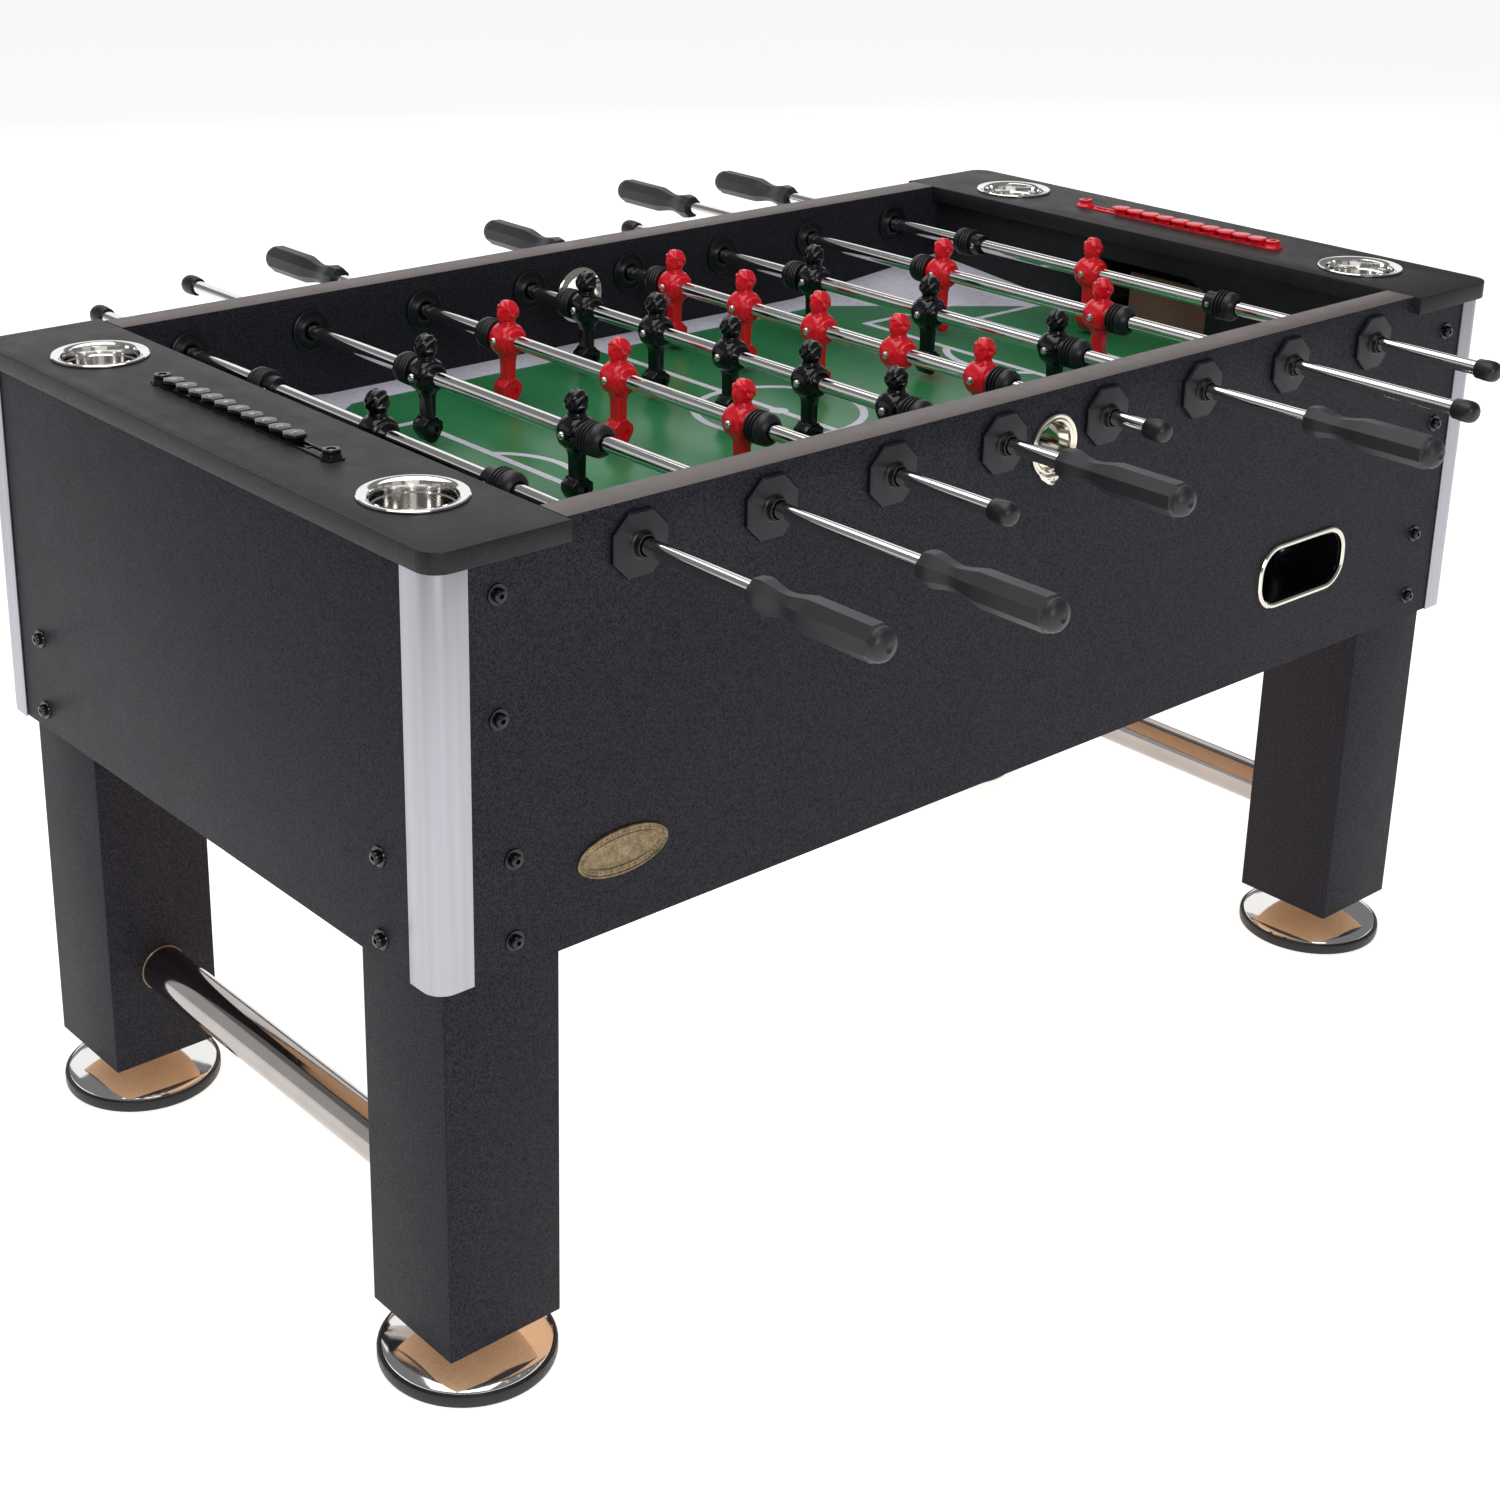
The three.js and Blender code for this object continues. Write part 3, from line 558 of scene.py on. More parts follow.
# ---------------------------------------------------------------- cabinet
def side_wall():
    """The front wall: skin, liner and rail, bored for the rods, the serving cup and the return."""
    end = END_OUTER - TRIM_RADIUS - GAP
    eased = 1.5
    section = [
        (-SIDE_OUTER, PANEL_BOTTOM),
        (-SIDE_OUTER, HEIGHT - eased),
        (-SIDE_OUTER + eased * 0.3, HEIGHT - eased * 0.3),
        (-SIDE_OUTER + eased, HEIGHT),
        (-SIDE_INNER - eased, HEIGHT),
        (-SIDE_INNER - eased * 0.3, HEIGHT - eased * 0.3),
        (-SIDE_INNER, HEIGHT - eased),
        (-SIDE_INNER, LINER_BOTTOM),
        (-SKIN_INNER, LINER_BOTTOM),
        (-SKIN_INNER, PANEL_BOTTOM),
    ]
    wall = prism(section, -end, end, plane="YZ")
    step = CAP_INNER_X - GAP
    cutters = [
        board((sign * step, sign * (end + 5)), (-SIDE_OUTER - 5, -SIDE_INNER + 5),
              (CAP_BOTTOM - GAP, HEIGHT + 5), bevel=0)
        for sign in (-1, 1)
    ]
    start, stop = -SIDE_OUTER - 20, -SIDE_INNER + 20
    for number in range(1, len(RODS) + 1):
        bore = [(ROD_BORE, start), (ROD_BORE, stop)]
        cutters.append(revolved(bore, 24, "Y", centre=(rod_x(number), 0, ROD_Z)))
    bore = [(SERVE_BORE, start), (SERVE_BORE, stop)]
    cutters.append(revolved(bore, 32, "Y", centre=(0, 0, SERVE_Z)))
    hole = [
        (x + RETURN_X, z + RETURN_Z)
        for x, z in rounded(RETURN_WIDTH - 9, RETURN_HEIGHT - 9, 29)
    ]
    cutters.append(prism(hole, start, -SKIN_INNER + 10, plane="XZ"))
    wall = carved(wall, *cutters)
    return paint_where(wall, lambda n, c: n.z > 0.5 and c.z > HEIGHT - 2)


def bearing():
    """An eight-sided plate and hub outside, a sleeve, and a round flange inside."""
    wall = SIDE_OUTER - SIDE_INNER
    profile = [
        (32.4, 0.1, 8), (33.0, 0.7, 8), (33.0, 4.6, 8), (31.2, 6.2, 8), (21.0, 6.6), (13.4, 7.2),
        (11.6, 8.4), (10.9, 10.6), (10.7, 13.0), (10.2, 13.8), (9.4, 13.9), (9.1, 13.2),
        (9.1, 0), (9.1, -wall - 4), (10.2, -wall - 5.7), (12.5, -wall - 6), (14.5, -wall - 4.6),
        (19, -wall - 3.8), (22.4, -wall - 4.2), (23.6, -wall - 3.6), (24, -wall - 2.4),
        (24, -wall - 0.1), (12.9, -wall - 0.1), (12.9, 0.1),
    ]
    outward = [(p[0], -p[1], *p[2:]) for p in profile]
    return revolved(outward, 32, "Y", loop=True)


def bolt():
    """A cap screw on its washer, standing out along -Y."""
    washer = revolved(
        [(3.2, 0), (9.6, 0), (10, -0.5), (9.6, -1.7), (6.5, -2.0), (3.2, -2.0)], 28, "Y", loop=True,
    )
    head = revolved([(6.3, -1.6), (6.5, -2.2), (6.4, -5.2), (5.6, -6.6), (4.4, -7.2)], 28, "Y")
    socket = revolved([(2.6, -9, 6), (2.6, -4.5, 6)], 24, "Y")
    return merged(carved(head, socket), washer)


def side_bolts():
    """The bolts of the front wall."""
    places = [(x * side, z) for side in (-1, 1) for x, z in SIDE_BOLTS]
    return merged(*(moved(bolt(), (x, -SIDE_OUTER, z)) for x, z in places))


wall_mesh = mesh_of(side_wall(), "side_wall", [LAMINATE, RAIL_TOP])
bearing_mesh = mesh_of(bearing(), "bearing", [NYLON], smooth=24)
bolt_mesh = mesh_of(side_bolts(), "wall_bolts", [BLACK_GLOSS])
HALF_TURN = Matrix.Rotation(math.pi, 4, "Z")
AS_MADE = Matrix.Identity(4)
for side, turn in (("front", AS_MADE), ("back", HALF_TURN)):
    piece(f"side_wall_{side}", wall_mesh, "cabinet", [f"side_panel_{side}"], turn)
    piece(f"bolts_{side}", bolt_mesh, "cabinet", place=turn)
    for number in range(1, len(RODS) + 1):
        place = turn @ Matrix.Translation(Vector((rod_x(number), -SIDE_OUTER, ROD_Z)) * MM)
        piece(f"bearing_{side}_{number}", bearing_mesh, "cabinet", place=place)


def end_board():
    """The outer panel of an end."""
    return board(
        (END_INNER, END_OUTER), (-SKIN_INNER + GAP, SKIN_INNER - GAP),
        (PANEL_BOTTOM, CAP_BOTTOM - GAP),
    )


def end_bolts():
    """The bolts of an end panel."""
    return merged(*(moved(bolt(), (END_OUTER, y, z), turn=90) for y, z in END_BOLTS))


def goal_face():
    """The wall round the goal mouth, with the pocket behind it."""
    low, high = FIELD_TOP + GAP, CAP_BOTTOM - GAP
    shoulder = GOAL_HALF_WIDTH - GOAL_CHAMFER
    chamfer_low = GOAL_TOP - GOAL_CHAMFER_DROP
    half = SIDE_INNER - GAP
    outline = [
        (-half, low), (-GOAL_HALF_WIDTH, low), (-GOAL_HALF_WIDTH, chamfer_low),
        (-shoulder, GOAL_TOP), (shoulder, GOAL_TOP), (GOAL_HALF_WIDTH, chamfer_low),
        (GOAL_HALF_WIDTH, low), (half, low), (half, high), (-half, high),
    ]
    wall = prism(outline, GOAL_FACE_X, GOAL_BACK_X, plane="YZ", bevel=2.2, steps=3)
    side, back = GOAL_HALF_WIDTH, END_INNER - GAP
    deep, across = (GOAL_BACK_X - 1, back), (-side - 3, side + 3)
    pocket = [
        board(deep, (side, side + 3), (low, GOAL_TOP), 0.6),
        board(deep, (-side - 3, -side), (low, GOAL_TOP), 0.6),
        board(deep, across, (GOAL_TOP, GOAL_TOP + 3), 0.6),
        board((back - 3, back), across, (low, GOAL_TOP), 0.6),
    ]
    return merged(wall, *pocket)


def goal_board():
    """The raw board seen low at the back of the goal."""
    side = GOAL_HALF_WIDTH - 1
    return board((END_INNER - 10, END_INNER - 5.5), (-side, side),
                 (TRAY_FLOOR + 4, FIELD_TOP + 34), 0.8)


def cap_board():
    """The cap over an end, cut for its cup holders and its scorer."""
    outer, half = LENGTH / 2, WIDTH / 2
    outline = [(CAP_INNER_X, -half)]
    outline += arc(outer - CAP_CORNER, CAP_CORNER - half, CAP_CORNER, -90, 0, 12)
    outline += arc(outer - CAP_CORNER, half - CAP_CORNER, CAP_CORNER, 0, 90, 12)
    outline.append((CAP_INNER_X, half))
    slab = prism(outline, CAP_BOTTOM, HEIGHT, bevel=1.3, steps=2)
    slot_end = SCORER_HALF + GAP
    cutters = [
        board((CAP_CENTRE_X - SCORER_SLOT / 2, CAP_CENTRE_X + SCORER_SLOT / 2), (-slot_end, slot_end),
              (CAP_BOTTOM - 1, HEIGHT + 1), bevel=0),
    ]
    for y in (-CUP_Y, CUP_Y):
        cutters.append(revolved(
            [(CUP_BORE, CAP_BOTTOM - 1), (CUP_BORE, HEIGHT + 1)], 48, centre=(CAP_CENTRE_X, y, 0),
        ))
    slab = carved(slab, *cutters)
    return paint_where(slab, lambda n, c: n.z < 0.6)


end_mesh = mesh_of(end_board(), "end_board", [LAMINATE])
end_bolt_mesh = mesh_of(end_bolts(), "end_bolts", [BLACK_GLOSS])
goal_mesh = mesh_of(goal_face(), "goal_face", [CAP_EDGE])
# the board at the back of the goal takes the lighter copy of the raw board, painted light against the
# pocket's shade
goal_board_mesh = mesh_of(goal_board(), "goal_board", [PAINTED_LIGHT_BOARD])
cap_mesh = mesh_of(cap_board(), "cap_board", [CAP_TOP, CAP_EDGE])
for side, turn in (("right", AS_MADE), ("left", HALF_TURN)):
    piece(f"end_board_{side}", end_mesh, "cabinet", [f"end_panel_{side}"], turn)
    piece(f"end_bolts_{side}", end_bolt_mesh, "cabinet", place=turn)
    piece(f"goal_face_{side}", goal_mesh, "cabinet", [f"goal_wall_{side}"], turn)
    piece(f"goal_board_{side}", goal_board_mesh, "cabinet", place=turn)
    piece(f"cap_board_{side}", cap_mesh, "cabinet", [f"top_cap_{side}"], turn)


# ---------------------------------------------------------------- playing field
def field_board():
    """The green board."""
    return board(
        (-GOAL_BACK_X, GOAL_BACK_X), (-SIDE_INNER + GAP, SIDE_INNER - GAP),
        (FIELD_TOP - FIELD_THICKNESS, FIELD_TOP), 0.5,
    )


def stroke(a, b):
    """A straight line on the field."""
    a, b = Vector(a), Vector(b)
    along = (b - a).normalized() * LINE / 2
    across = Vector((-along.y, along.x))
    a, b = a - along, b + along
    outline = [a + across, a - across, b - across, b + across]
    return prism([tuple(p) for p in outline], FIELD_TOP - LINE_SINK, FIELD_TOP + LINE_RISE)


def sweep(x, radius, start, stop):
    """A curved line on the field between two angles in degrees."""
    outline = arc(x, 0, radius + LINE / 2, start, stop, ARC_STEPS)
    outline += arc(x, 0, radius - LINE / 2, start, stop, ARC_STEPS)[::-1]
    return prism(outline, FIELD_TOP - LINE_SINK, FIELD_TOP + LINE_RISE + ARC_RISE)


def field_lines():
    """Half-way line, centre circle, and the boxes and arcs before each goal."""
    parts = [stroke((0, -FIELD_EDGE), (0, FIELD_EDGE))]
    parts += [sweep(0, CENTRE_CIRCLE, start, start + 179.95) for start in (0, 180)]
    low, high = FIELD_TOP - LINE_SINK, FIELD_TOP + LINE_RISE + ARC_RISE
    parts.append(revolved([(CENTRE_SPOT, low), (CENTRE_SPOT, high)], 32))
    for sign in (-1, 1):
        for box_x, box_y in BOXES:
            front = sign * box_x
            back = sign * (GOAL_FACE_X - 6)
            parts.append(stroke((front, -box_y), (front, box_y)))
            parts += [stroke((front + sign * LINE, y), (back, y)) for y in (-box_y, box_y)]
        facing = 180 if sign > 0 else 0
        start, stop = facing - GOAL_ARC_HALF_ANGLE, facing + GOAL_ARC_HALF_ANGLE
        parts.append(sweep(sign * GOAL_ARC_X, GOAL_ARC_RADIUS, start, stop))
    return merged(*parts)


def field_border():
    """The white strips along the sides, between the ramps."""
    outer = SIDE_INNER - 0.5
    return merged(*(
        board((-RAMP_X, RAMP_X), sorted((sign * FIELD_EDGE, sign * outer)),
              (FIELD_TOP - 0.1, FIELD_TOP + LINE_RISE + 0.1), 0)
        for sign in (-1, 1)
    ))


def corner_ramp(sign_x, sign_y):
    """A raised triangle in a corner of the field."""
    shape = bmesh.new()
    side_y, end_x = SIDE_INNER - 0.6, GOAL_FACE_X - 0.6
    low, toe = FIELD_TOP - 0.1, FIELD_TOP + LINE_RISE + 0.2
    plan = [(RAMP_X, FIELD_EDGE), (end_x, RAMP_Y), (end_x, side_y), (RAMP_X, side_y)]
    heights = [toe, toe, FIELD_TOP + RAMP_HEIGHT, toe]
    foot = [shape.verts.new((sign_x * x, sign_y * y, low)) for x, y in plan]
    top = [shape.verts.new((sign_x * x, sign_y * y, z)) for (x, y), z in zip(plan, heights)]
    for k in range(4):
        after = (k + 1) % 4
        shape.faces.new((foot[k], foot[after], top[after], top[k]))
    shape.faces.new(foot[::-1])
    shape.faces.new((top[0], top[1], top[2]))
    shape.faces.new((top[0], top[2], top[3]))
    return shape


fixed("field_board", field_board(), [FIELD], ["playfield"])
fixed("field_lines", field_lines(), [WHITE])
fixed("field_border", field_border(), [WHITE])
ramps = [corner_ramp(*signs) for signs in CORNERS.values()]
fixed("field_corner_ramps", merged(*ramps), [WHITE], smooth=10)


# ---------------------------------------------------------------- corners, legs and feet
def corner_trim():
    """A rounded aluminium post with a thin wing over each panel."""
    face_x, face_y = END_OUTER + GAP, SIDE_OUTER + GAP
    out_x, out_y = face_x + TRIM_SHEET, face_y + TRIM_SHEET
    outline = [(out_x, out_y - TRIM_WING)]
    outline += arc(out_x - TRIM_RADIUS, out_y - TRIM_RADIUS, TRIM_RADIUS, 0, 90, 16)
    outline += [
        (out_x - TRIM_WING, out_y), (out_x - TRIM_WING, face_y),
        (END_OUTER - TRIM_RADIUS, face_y), (END_OUTER - TRIM_RADIUS, SKIN_INNER + GAP),
        (face_x, SKIN_INNER + GAP), (face_x, out_y - TRIM_WING),
    ]
    return prism(outline, PANEL_BOTTOM - 1, CAP_BOTTOM - GAP, bevel=0.4)


def leg_post():
    """A square leg with eased edges and a raw end."""
    half = LEG / 2
    post = board(
        (LEG_X - half, LEG_X + half), (LEG_Y - half, LEG_Y + half), (LEG_BOTTOM, LEG_TOP), 1.6, 3,
    )
    stem = revolved([(7, LEG_BOTTOM - 2), (7, LEG_BOTTOM + 52)], 24, centre=(LEG_X, LEG_Y, 0))
    return paint_where(
        carved(post, stem), lambda n, c: n.z < -0.9 or (c - Vector((LEG_X, LEG_Y, c.z))).length < 9,
    )


def leveller():
    """A domed chrome foot on a rubber ring, with its threaded stem."""
    centre = (LEG_X, LEG_Y, 0)
    base = revolved(
        [(30, 0), (84.0, 0), (86.4, 1.2), (87, 3.6), (87, 10.4), (86.5, 12.6), (85.2, 13.8),
         (83.6, 13.6), (82.6, 12.4), (78, 10), (30, 6)],
        72, loop=True, centre=centre,
    )
    dish = revolved(
        [(8, 10), (83.4, 10), (83.2, 13.2), (82.2, 15.2), (79.5, 16.8), (74, 18.6),
         (65, 21.4), (54, 24.2), (42, 27), (32, 29.2), (26, 30.8), (22.5, 32.6), (20.6, 35),
         (19.6, 38.6), (17.8, 40.6), (13, 41.4), (8, 41.4)],
        72, loop=True, centre=centre,
    )
    thread = [(6.1, 30)]
    for k in range(11):
        thread += [(5.3, 31 + 1.75 * k), (6.1, 31.9 + 1.75 * k)]
    thread += [(6.1, 96), (5, 97)]
    stem = revolved(thread, 24, centre=centre)
    nut = soften(revolved([(10.5, 42.2, 6), (10.5, 49.4, 6)], 6, centre=centre), 0.8)
    return merged(painted(base), dish, stem, nut)


def cross_tube():
    """The tube between two legs, with a thin flange at each."""
    reach = LEG_Y - LEG / 2 - GAP
    centre = (LEG_X, 0, CROSS_TUBE_Z)
    stations = [(CROSS_TUBE_RADIUS, y) for y in (1 - reach, 6 - reach, reach - 6, reach - 1)]
    parts = [revolved(stations, 48, "Y", centre=centre)]
    for sign in (-1, 1):
        at = sign * reach
        profile = [(24, at), (26.0, at), (26.1, at - sign * 0.6), (25.4, at - sign * 1.1),
                   (24, at - sign * 1.1)]
        parts.append(painted(revolved(profile, 48, "Y", loop=True, centre=centre)))
    return merged(*parts)


trim_mesh = mesh_of(corner_trim(), "corner_trim", [ALUMINIUM])
leg_mesh = mesh_of(leg_post(), "leg_post", [LAMINATE, MDF])
leveller_mesh = mesh_of(leveller(), "leveller", [CHROME, RUBBER])


def mirrored(mesh, name, sign_x, sign_y):
    """A mesh made for the back right corner, as it is at another corner."""
    shape = bmesh.new()
    shape.from_mesh(mesh)
    bmesh.ops.scale(shape, vec=(sign_x / MM, sign_y / MM, 1 / MM), verts=shape.verts[:])
    return mesh_of(shape, name, list(mesh.materials))


for corner, (sign_x, sign_y) in CORNERS.items():
    for label, mesh, slot, node in (
        ("trim", trim_mesh, "aluminium", "corner_trim"),
        ("leg_post", leg_mesh, "laminate", "leg"),
        ("leveller", leveller_mesh, "chrome", "foot"),
    ):
        name = f"{label}_{corner}"
        piece(name, mirrored(mesh, name, sign_x, sign_y), "cabinet", [f"{node}_{corner}"])

tube_mesh = mesh_of(cross_tube(), "cross_tube", [DARK_CHROME, BRONZE])
for side, turn in (("right", AS_MADE), ("left", HALF_TURN)):
    piece(f"cross_tube_{side}", tube_mesh, "cabinet", [f"stretcher_{side}"], turn)


# ---------------------------------------------------------------- ball returns and serving cups
def return_ring(width, height, corner, depth):
    """A round-cornered ring in the front wall, depth inwards from its face."""
    return [
        Vector((x + RETURN_X, -SIDE_OUTER + depth, z + RETURN_Z))
        for x, z in rounded(width, height, corner)
    ]


def return_rim():
    """A rolled metal rim round the mouth of a ball return."""
    stations = [(0, 0.2), (0, -2.4), (1.4, -3.8), (4.2, -4.0), (6.2, -2.6), (6.8, 0), (6.8, 3.5)]
    rings = [
        return_ring(RETURN_WIDTH - 2 * s, RETURN_HEIGHT - 2 * s, RETURN_CORNER - s, depth)
        for s, depth in stations
    ]
    back = return_ring(RETURN_WIDTH - 10.6, RETURN_HEIGHT - 10.6, RETURN_CORNER - 5.3, 3.5)
    root = return_ring(RETURN_WIDTH - 10.6, RETURN_HEIGHT - 10.6, RETURN_CORNER - 5.3, 0.2)
    return loft([*rings, back, root], loop=True)


def return_cup():
    """A deep pocket whose walls draw in to a rounded back."""
    inside = [(30, 75), (20, 73), (13, 66), (9.5, 50), (8, 20), (7, 1)]
    outside = [(5.4, 1), (5.4, 50), (9, 67), (17, 76), (28, 77.6)]
    return loft([
        return_ring(
            RETURN_WIDTH - 2 * s, RETURN_HEIGHT - 2 * s, max(RETURN_CORNER - s, 4), depth,
        )
        for s, depth in inside + outside
    ])


def return_chute():
    """The tray under the goal and the sloping trough that leads to the cup."""
    x0, x1 = GOAL_BACK_X + 2, END_INNER - 2
    half = GOAL_HALF_WIDTH + 3
    across, tall = (-half, half), (TRAY_FLOOR, TRAY_FLOOR + TRAY_HEIGHT)
    walls = [
        board((x0, x1), across, (TRAY_FLOOR, TRAY_FLOOR + 3), 0.6),
        board((x0, x0 + 3), across, tall, 0.6),
        board((x1 - 3, x1), across, tall, 0.6),
        board((x0, x1), (half - 3, half), tall, 0.6),
    ]
    section = [(-30, 0), (30, 0), (30, 30), (27, 30), (27, 3), (-27, 3), (-27, 30), (-30, 30)]
    start = Vector((x0 + 42, -half + 8, TRAY_FLOOR))
    end = Vector((RETURN_X + 12, -SIDE_OUTER + RETURN_DEPTH - 1, RETURN_Z - 24))
    along = (end - start).normalized()
    across = along.cross(Vector((0, 0, 1))).normalized()
    upward = across.cross(along)
    trough = loft([
        [origin + across * a + upward * b for a, b in section] for origin in (start, end)
    ])
    return merged(*walls, trough)


def serving_ring():
    """A dished chrome ring outside, a sleeve through the wall, a domed ring inside, and a lip."""
    wall = SIDE_OUTER - SIDE_INNER
    profile = [
        (24.5, 2), (25.2, -1.6), (27.4, -3.2), (29.2, -2.2), (30.4, -2.6), (32, -3.8),
        (33.2, -3.2), (33.5, -1.4), (33.4, -0.2), (27, -0.2), (27, wall + 0.2), (34, wall + 0.2),
        (34, wall + 1.6), (32.4, wall + 3), (29.4, wall + 3.6), (26.6, wall + 5), (24.8, wall + 4),
        (24.5, wall),
    ]
    body = revolved(profile, 56, "Y", loop=True, centre=(0, -SIDE_OUTER, SERVE_Z))
    lip = [
        (22, SERVE_Z - 24), (15, SERVE_Z - 32.5), (8, SERVE_Z - 37), (5.4, SERVE_Z - 39),
        (-5.4, SERVE_Z - 39), (-8, SERVE_Z - 37), (-15, SERVE_Z - 32.5), (-22, SERVE_Z - 24),
    ]
    tongue = prism(lip, -SIDE_OUTER - 1.8, -SIDE_OUTER - 0.2, plane="XZ", bevel=0.6)
    eye = revolved(
        [(2.6, -0.3), (6, -0.3), (6.2, -1.6), (5.4, -2.9), (4.2, -3.4), (3.0, -2.8), (2.6, -1.6)],
        28, "Y", loop=True, centre=(0, -SIDE_OUTER, SERVE_Z - 35),
    )
    return merged(body, tongue, eye)


rim_mesh = mesh_of(return_rim(), "return_rim", [WARM_CHROME])
cup_mesh = mesh_of(return_cup(), "return_cup", [BLACK_GLOSS], smooth=50)
chute_mesh = mesh_of(return_chute(), "return_chute", [NYLON])
serving_mesh = mesh_of(serving_ring(), "serving_ring", [WARM_CHROME])
for side, turn in (("front", AS_MADE), ("back", HALF_TURN)):
    piece(f"return_rim_{side}", rim_mesh, "cabinet", place=turn)
    piece(f"return_cup_{side}", cup_mesh, "cabinet",
          [f"ball_return_{side}"], turn)
    piece(f"return_chute_{side}", chute_mesh, "cabinet", place=turn)
    piece(f"serving_ring_{side}", serving_mesh, "cabinet", [f"serve_cup_{side}"], turn)


# ---------------------------------------------------------------- cup holders and scorers
def cup_holder():
    """A turned cup with a wide rolled flange, made for the back right corner."""
    profile = [
        (8, -62), (35, -62), (39.6, -60), (42, -55), (42, 0.2), (48.6, 0.2), (49.5, 0.9),
        (49.4, 2.0), (48.4, 2.9), (46.8, 2.8), (40.6, 1.7), (39.6, 0.8), (38.8, -4),
        (38.4, -9), (37.2, -10.4), (36.8, -16), (36.2, -52), (34.4, -57), (30, -59.4),
        (25, -59.6), (23.6, -58.4), (8, -58.4),
    ]
    centre = (CAP_CENTRE_X, CUP_Y, HEIGHT)
    cup = revolved(profile, 64, loop=True, centre=centre)
    plug = revolved([(8.4, -61.6), (8.4, -58.9)], 32, centre=centre)
    return merged(cup, plug)


def numeral(text, size):
    """A printed number lying flat, centred on the origin."""
    curve = bpy.data.curves.new("numeral", "FONT")
    curve.body = text
    curve.size = size
    curve.align_x = curve.align_y = "CENTER"
    curve.extrude = 0.12
    shape = worked(shown("numeral", curve))
    bmesh.ops.remove_doubles(shape, verts=shape.verts[:], dist=0.01)
    return shape


def hexagon(half_width, waist, half_length, height, y):
    """A level six-sided outline, pointed at both sides."""
    outline = [
        (half_width, 0), (waist, half_length), (-waist, half_length), (-half_width, 0),
        (-waist, -half_length), (waist, -half_length),
    ]
    return [Vector((a, b + y, height)) for a, b in outline]


def bead(y, half_length, stations):
    """A six-sided moulding from (scale, height) stations."""
    shape = loft([
        hexagon(11.8 * s, 6.6 * s, (half_length - 0.3) * s, z, y) for s, z in stations
    ])
    return soften(shape, 0.4, 2, 12)


def tab(y):
    """A numbered bead: a broad bevelled crown on a narrower foot."""
    stations = [
        (0.8, 2.4), (0.76, 4.2), (0.96, 6.6), (1.0, 7.6), (0.96, 8.8), (0.88, TAB_TOP - 0.2),
    ]
    return bead(y, TAB_PITCH / 2, stations)


def post(y):
    """The fixed bead at an end of a scorer, flared at its foot and bored for a screw."""
    half = SCORER_POST / 2 + 0.3
    stations = [
        (1.0, 0.4), (0.97, 1.4), (0.8, 4.4), (0.74, 6.4), (0.8, 8.2), (0.74, TAB_TOP - 0.2),
    ]
    bore = revolved([(4.4, TAB_TOP - 2.6), (4.4, TAB_TOP + 1)], 24, centre=(0, y, 0))
    screw = revolved([(4.2, TAB_TOP - 3), (4.0, TAB_TOP - 1.9), (2.6, TAB_TOP - 1.2)], 24,
                     centre=(0, y, 0))
    return merged(carved(bead(y, half, stations), bore), painted(screw))


def score_row():
    """Ten numbered beads at the front post, for the right cap."""
    beads, digits = [], []
    for index in range(TAB_COUNT):
        y = -(SCORER_HALF - SCORER_POST - 1) + TAB_PITCH * (index + 0.5)
        beads.append(tab(y))
        digit = numeral(str(TAB_COUNT - index), 9.5)
        digits.append(moved(digit, (0, y, TAB_TOP - 0.15), turn=-90))
    return moved(merged(merged(*beads), painted(merged(*digits))), (CAP_CENTRE_X, 0, HEIGHT))


def score_track():
    """The slotted track with a post and a screw at each end."""
    half = SCORER_HALF
    track = [
        board((-8, 8), (-half, half), (-8, 0.4), 0.3),
        board((-8, -4.6), (-half, half), (0, 2.0), 0.4),
        board((4.6, 8), (-half, half), (0, 2.0), 0.4),
    ]
    for k in range(13):
        y = -half + 26 + k * (2 * half - 52) / 12
        track.append(board((-4.8, 4.8), (y - 1.1, y + 1.1), (0, 1.5), 0.3))
    for y in (-half + SCORER_POST / 2, half - SCORER_POST / 2):
        track.append(post(y))
    return moved(merged(*track), (CAP_CENTRE_X, 0, HEIGHT))


holder_mesh = mesh_of(cup_holder(), "cup_holder", [CHROME])
for corner, (sign_x, sign_y) in CORNERS.items():
    name = f"cup_{corner}"
    piece(name, mirrored(holder_mesh, name, sign_x, sign_y), "cabinet",
          [f"cup_holder_{corner}"])
for side, turn, plastic, slot in (
    ("right", AS_MADE, RED_GLOSS, "red_plastic"),
    ("left", HALF_TURN, BLACK_GLOSS, "black_plastic"),
):
    row_mesh = mesh_of(score_row(), f"score_row_{side}", [plastic, DIGIT_WHITE])
    track_mesh = mesh_of(score_track(), f"score_track_{side}", [plastic, DARK_CHROME])
    piece(f"score_row_{side}", row_mesh, f"{side}_score_tabs",
          [f"scorer_tabs_{side}"], turn)
    piece(f"score_track_{side}", track_mesh, "cabinet", [f"scorer_track_{side}"], turn)


# ---------------------------------------------------------------- plaque
def oval(growth, depth, steps=64):
    """An outline of the plaque, grown all round, at a depth out of the wall."""
    points = []
    for k in range(steps):
        angle = TAU * k / steps
        points.append(Vector((
            PLAQUE_X + (PLAQUE_HALF_LENGTH + growth) * math.cos(angle),
            -SIDE_OUTER - depth,
            PLAQUE_Z + (PLAQUE_HALF_HEIGHT + growth) * math.sin(angle),
        )))
    return points


def plaque():
    """A plain oval plate with a raised rim and a ring of small beads."""
    plate = loft([
        oval(growth, depth) for growth, depth in (
            (0, 0.1), (0, 1.8), (-0.8, 2.6), (-2.2, 2.6), (-3.0, 1.7), (-7.4, 1.7), (-8.0, 2.3),
            (-9.0, 2.3), (-9.6, 1.5),
        )
    ])
    bead_profile = [(1.3, -1.4), (1.2, -2.0), (0.6, -2.5)]
    beads = [revolved(bead_profile, 10, "Y", centre=centre) for centre in oval(-5.2, 0, 44)]
    return merged(plate, *beads)


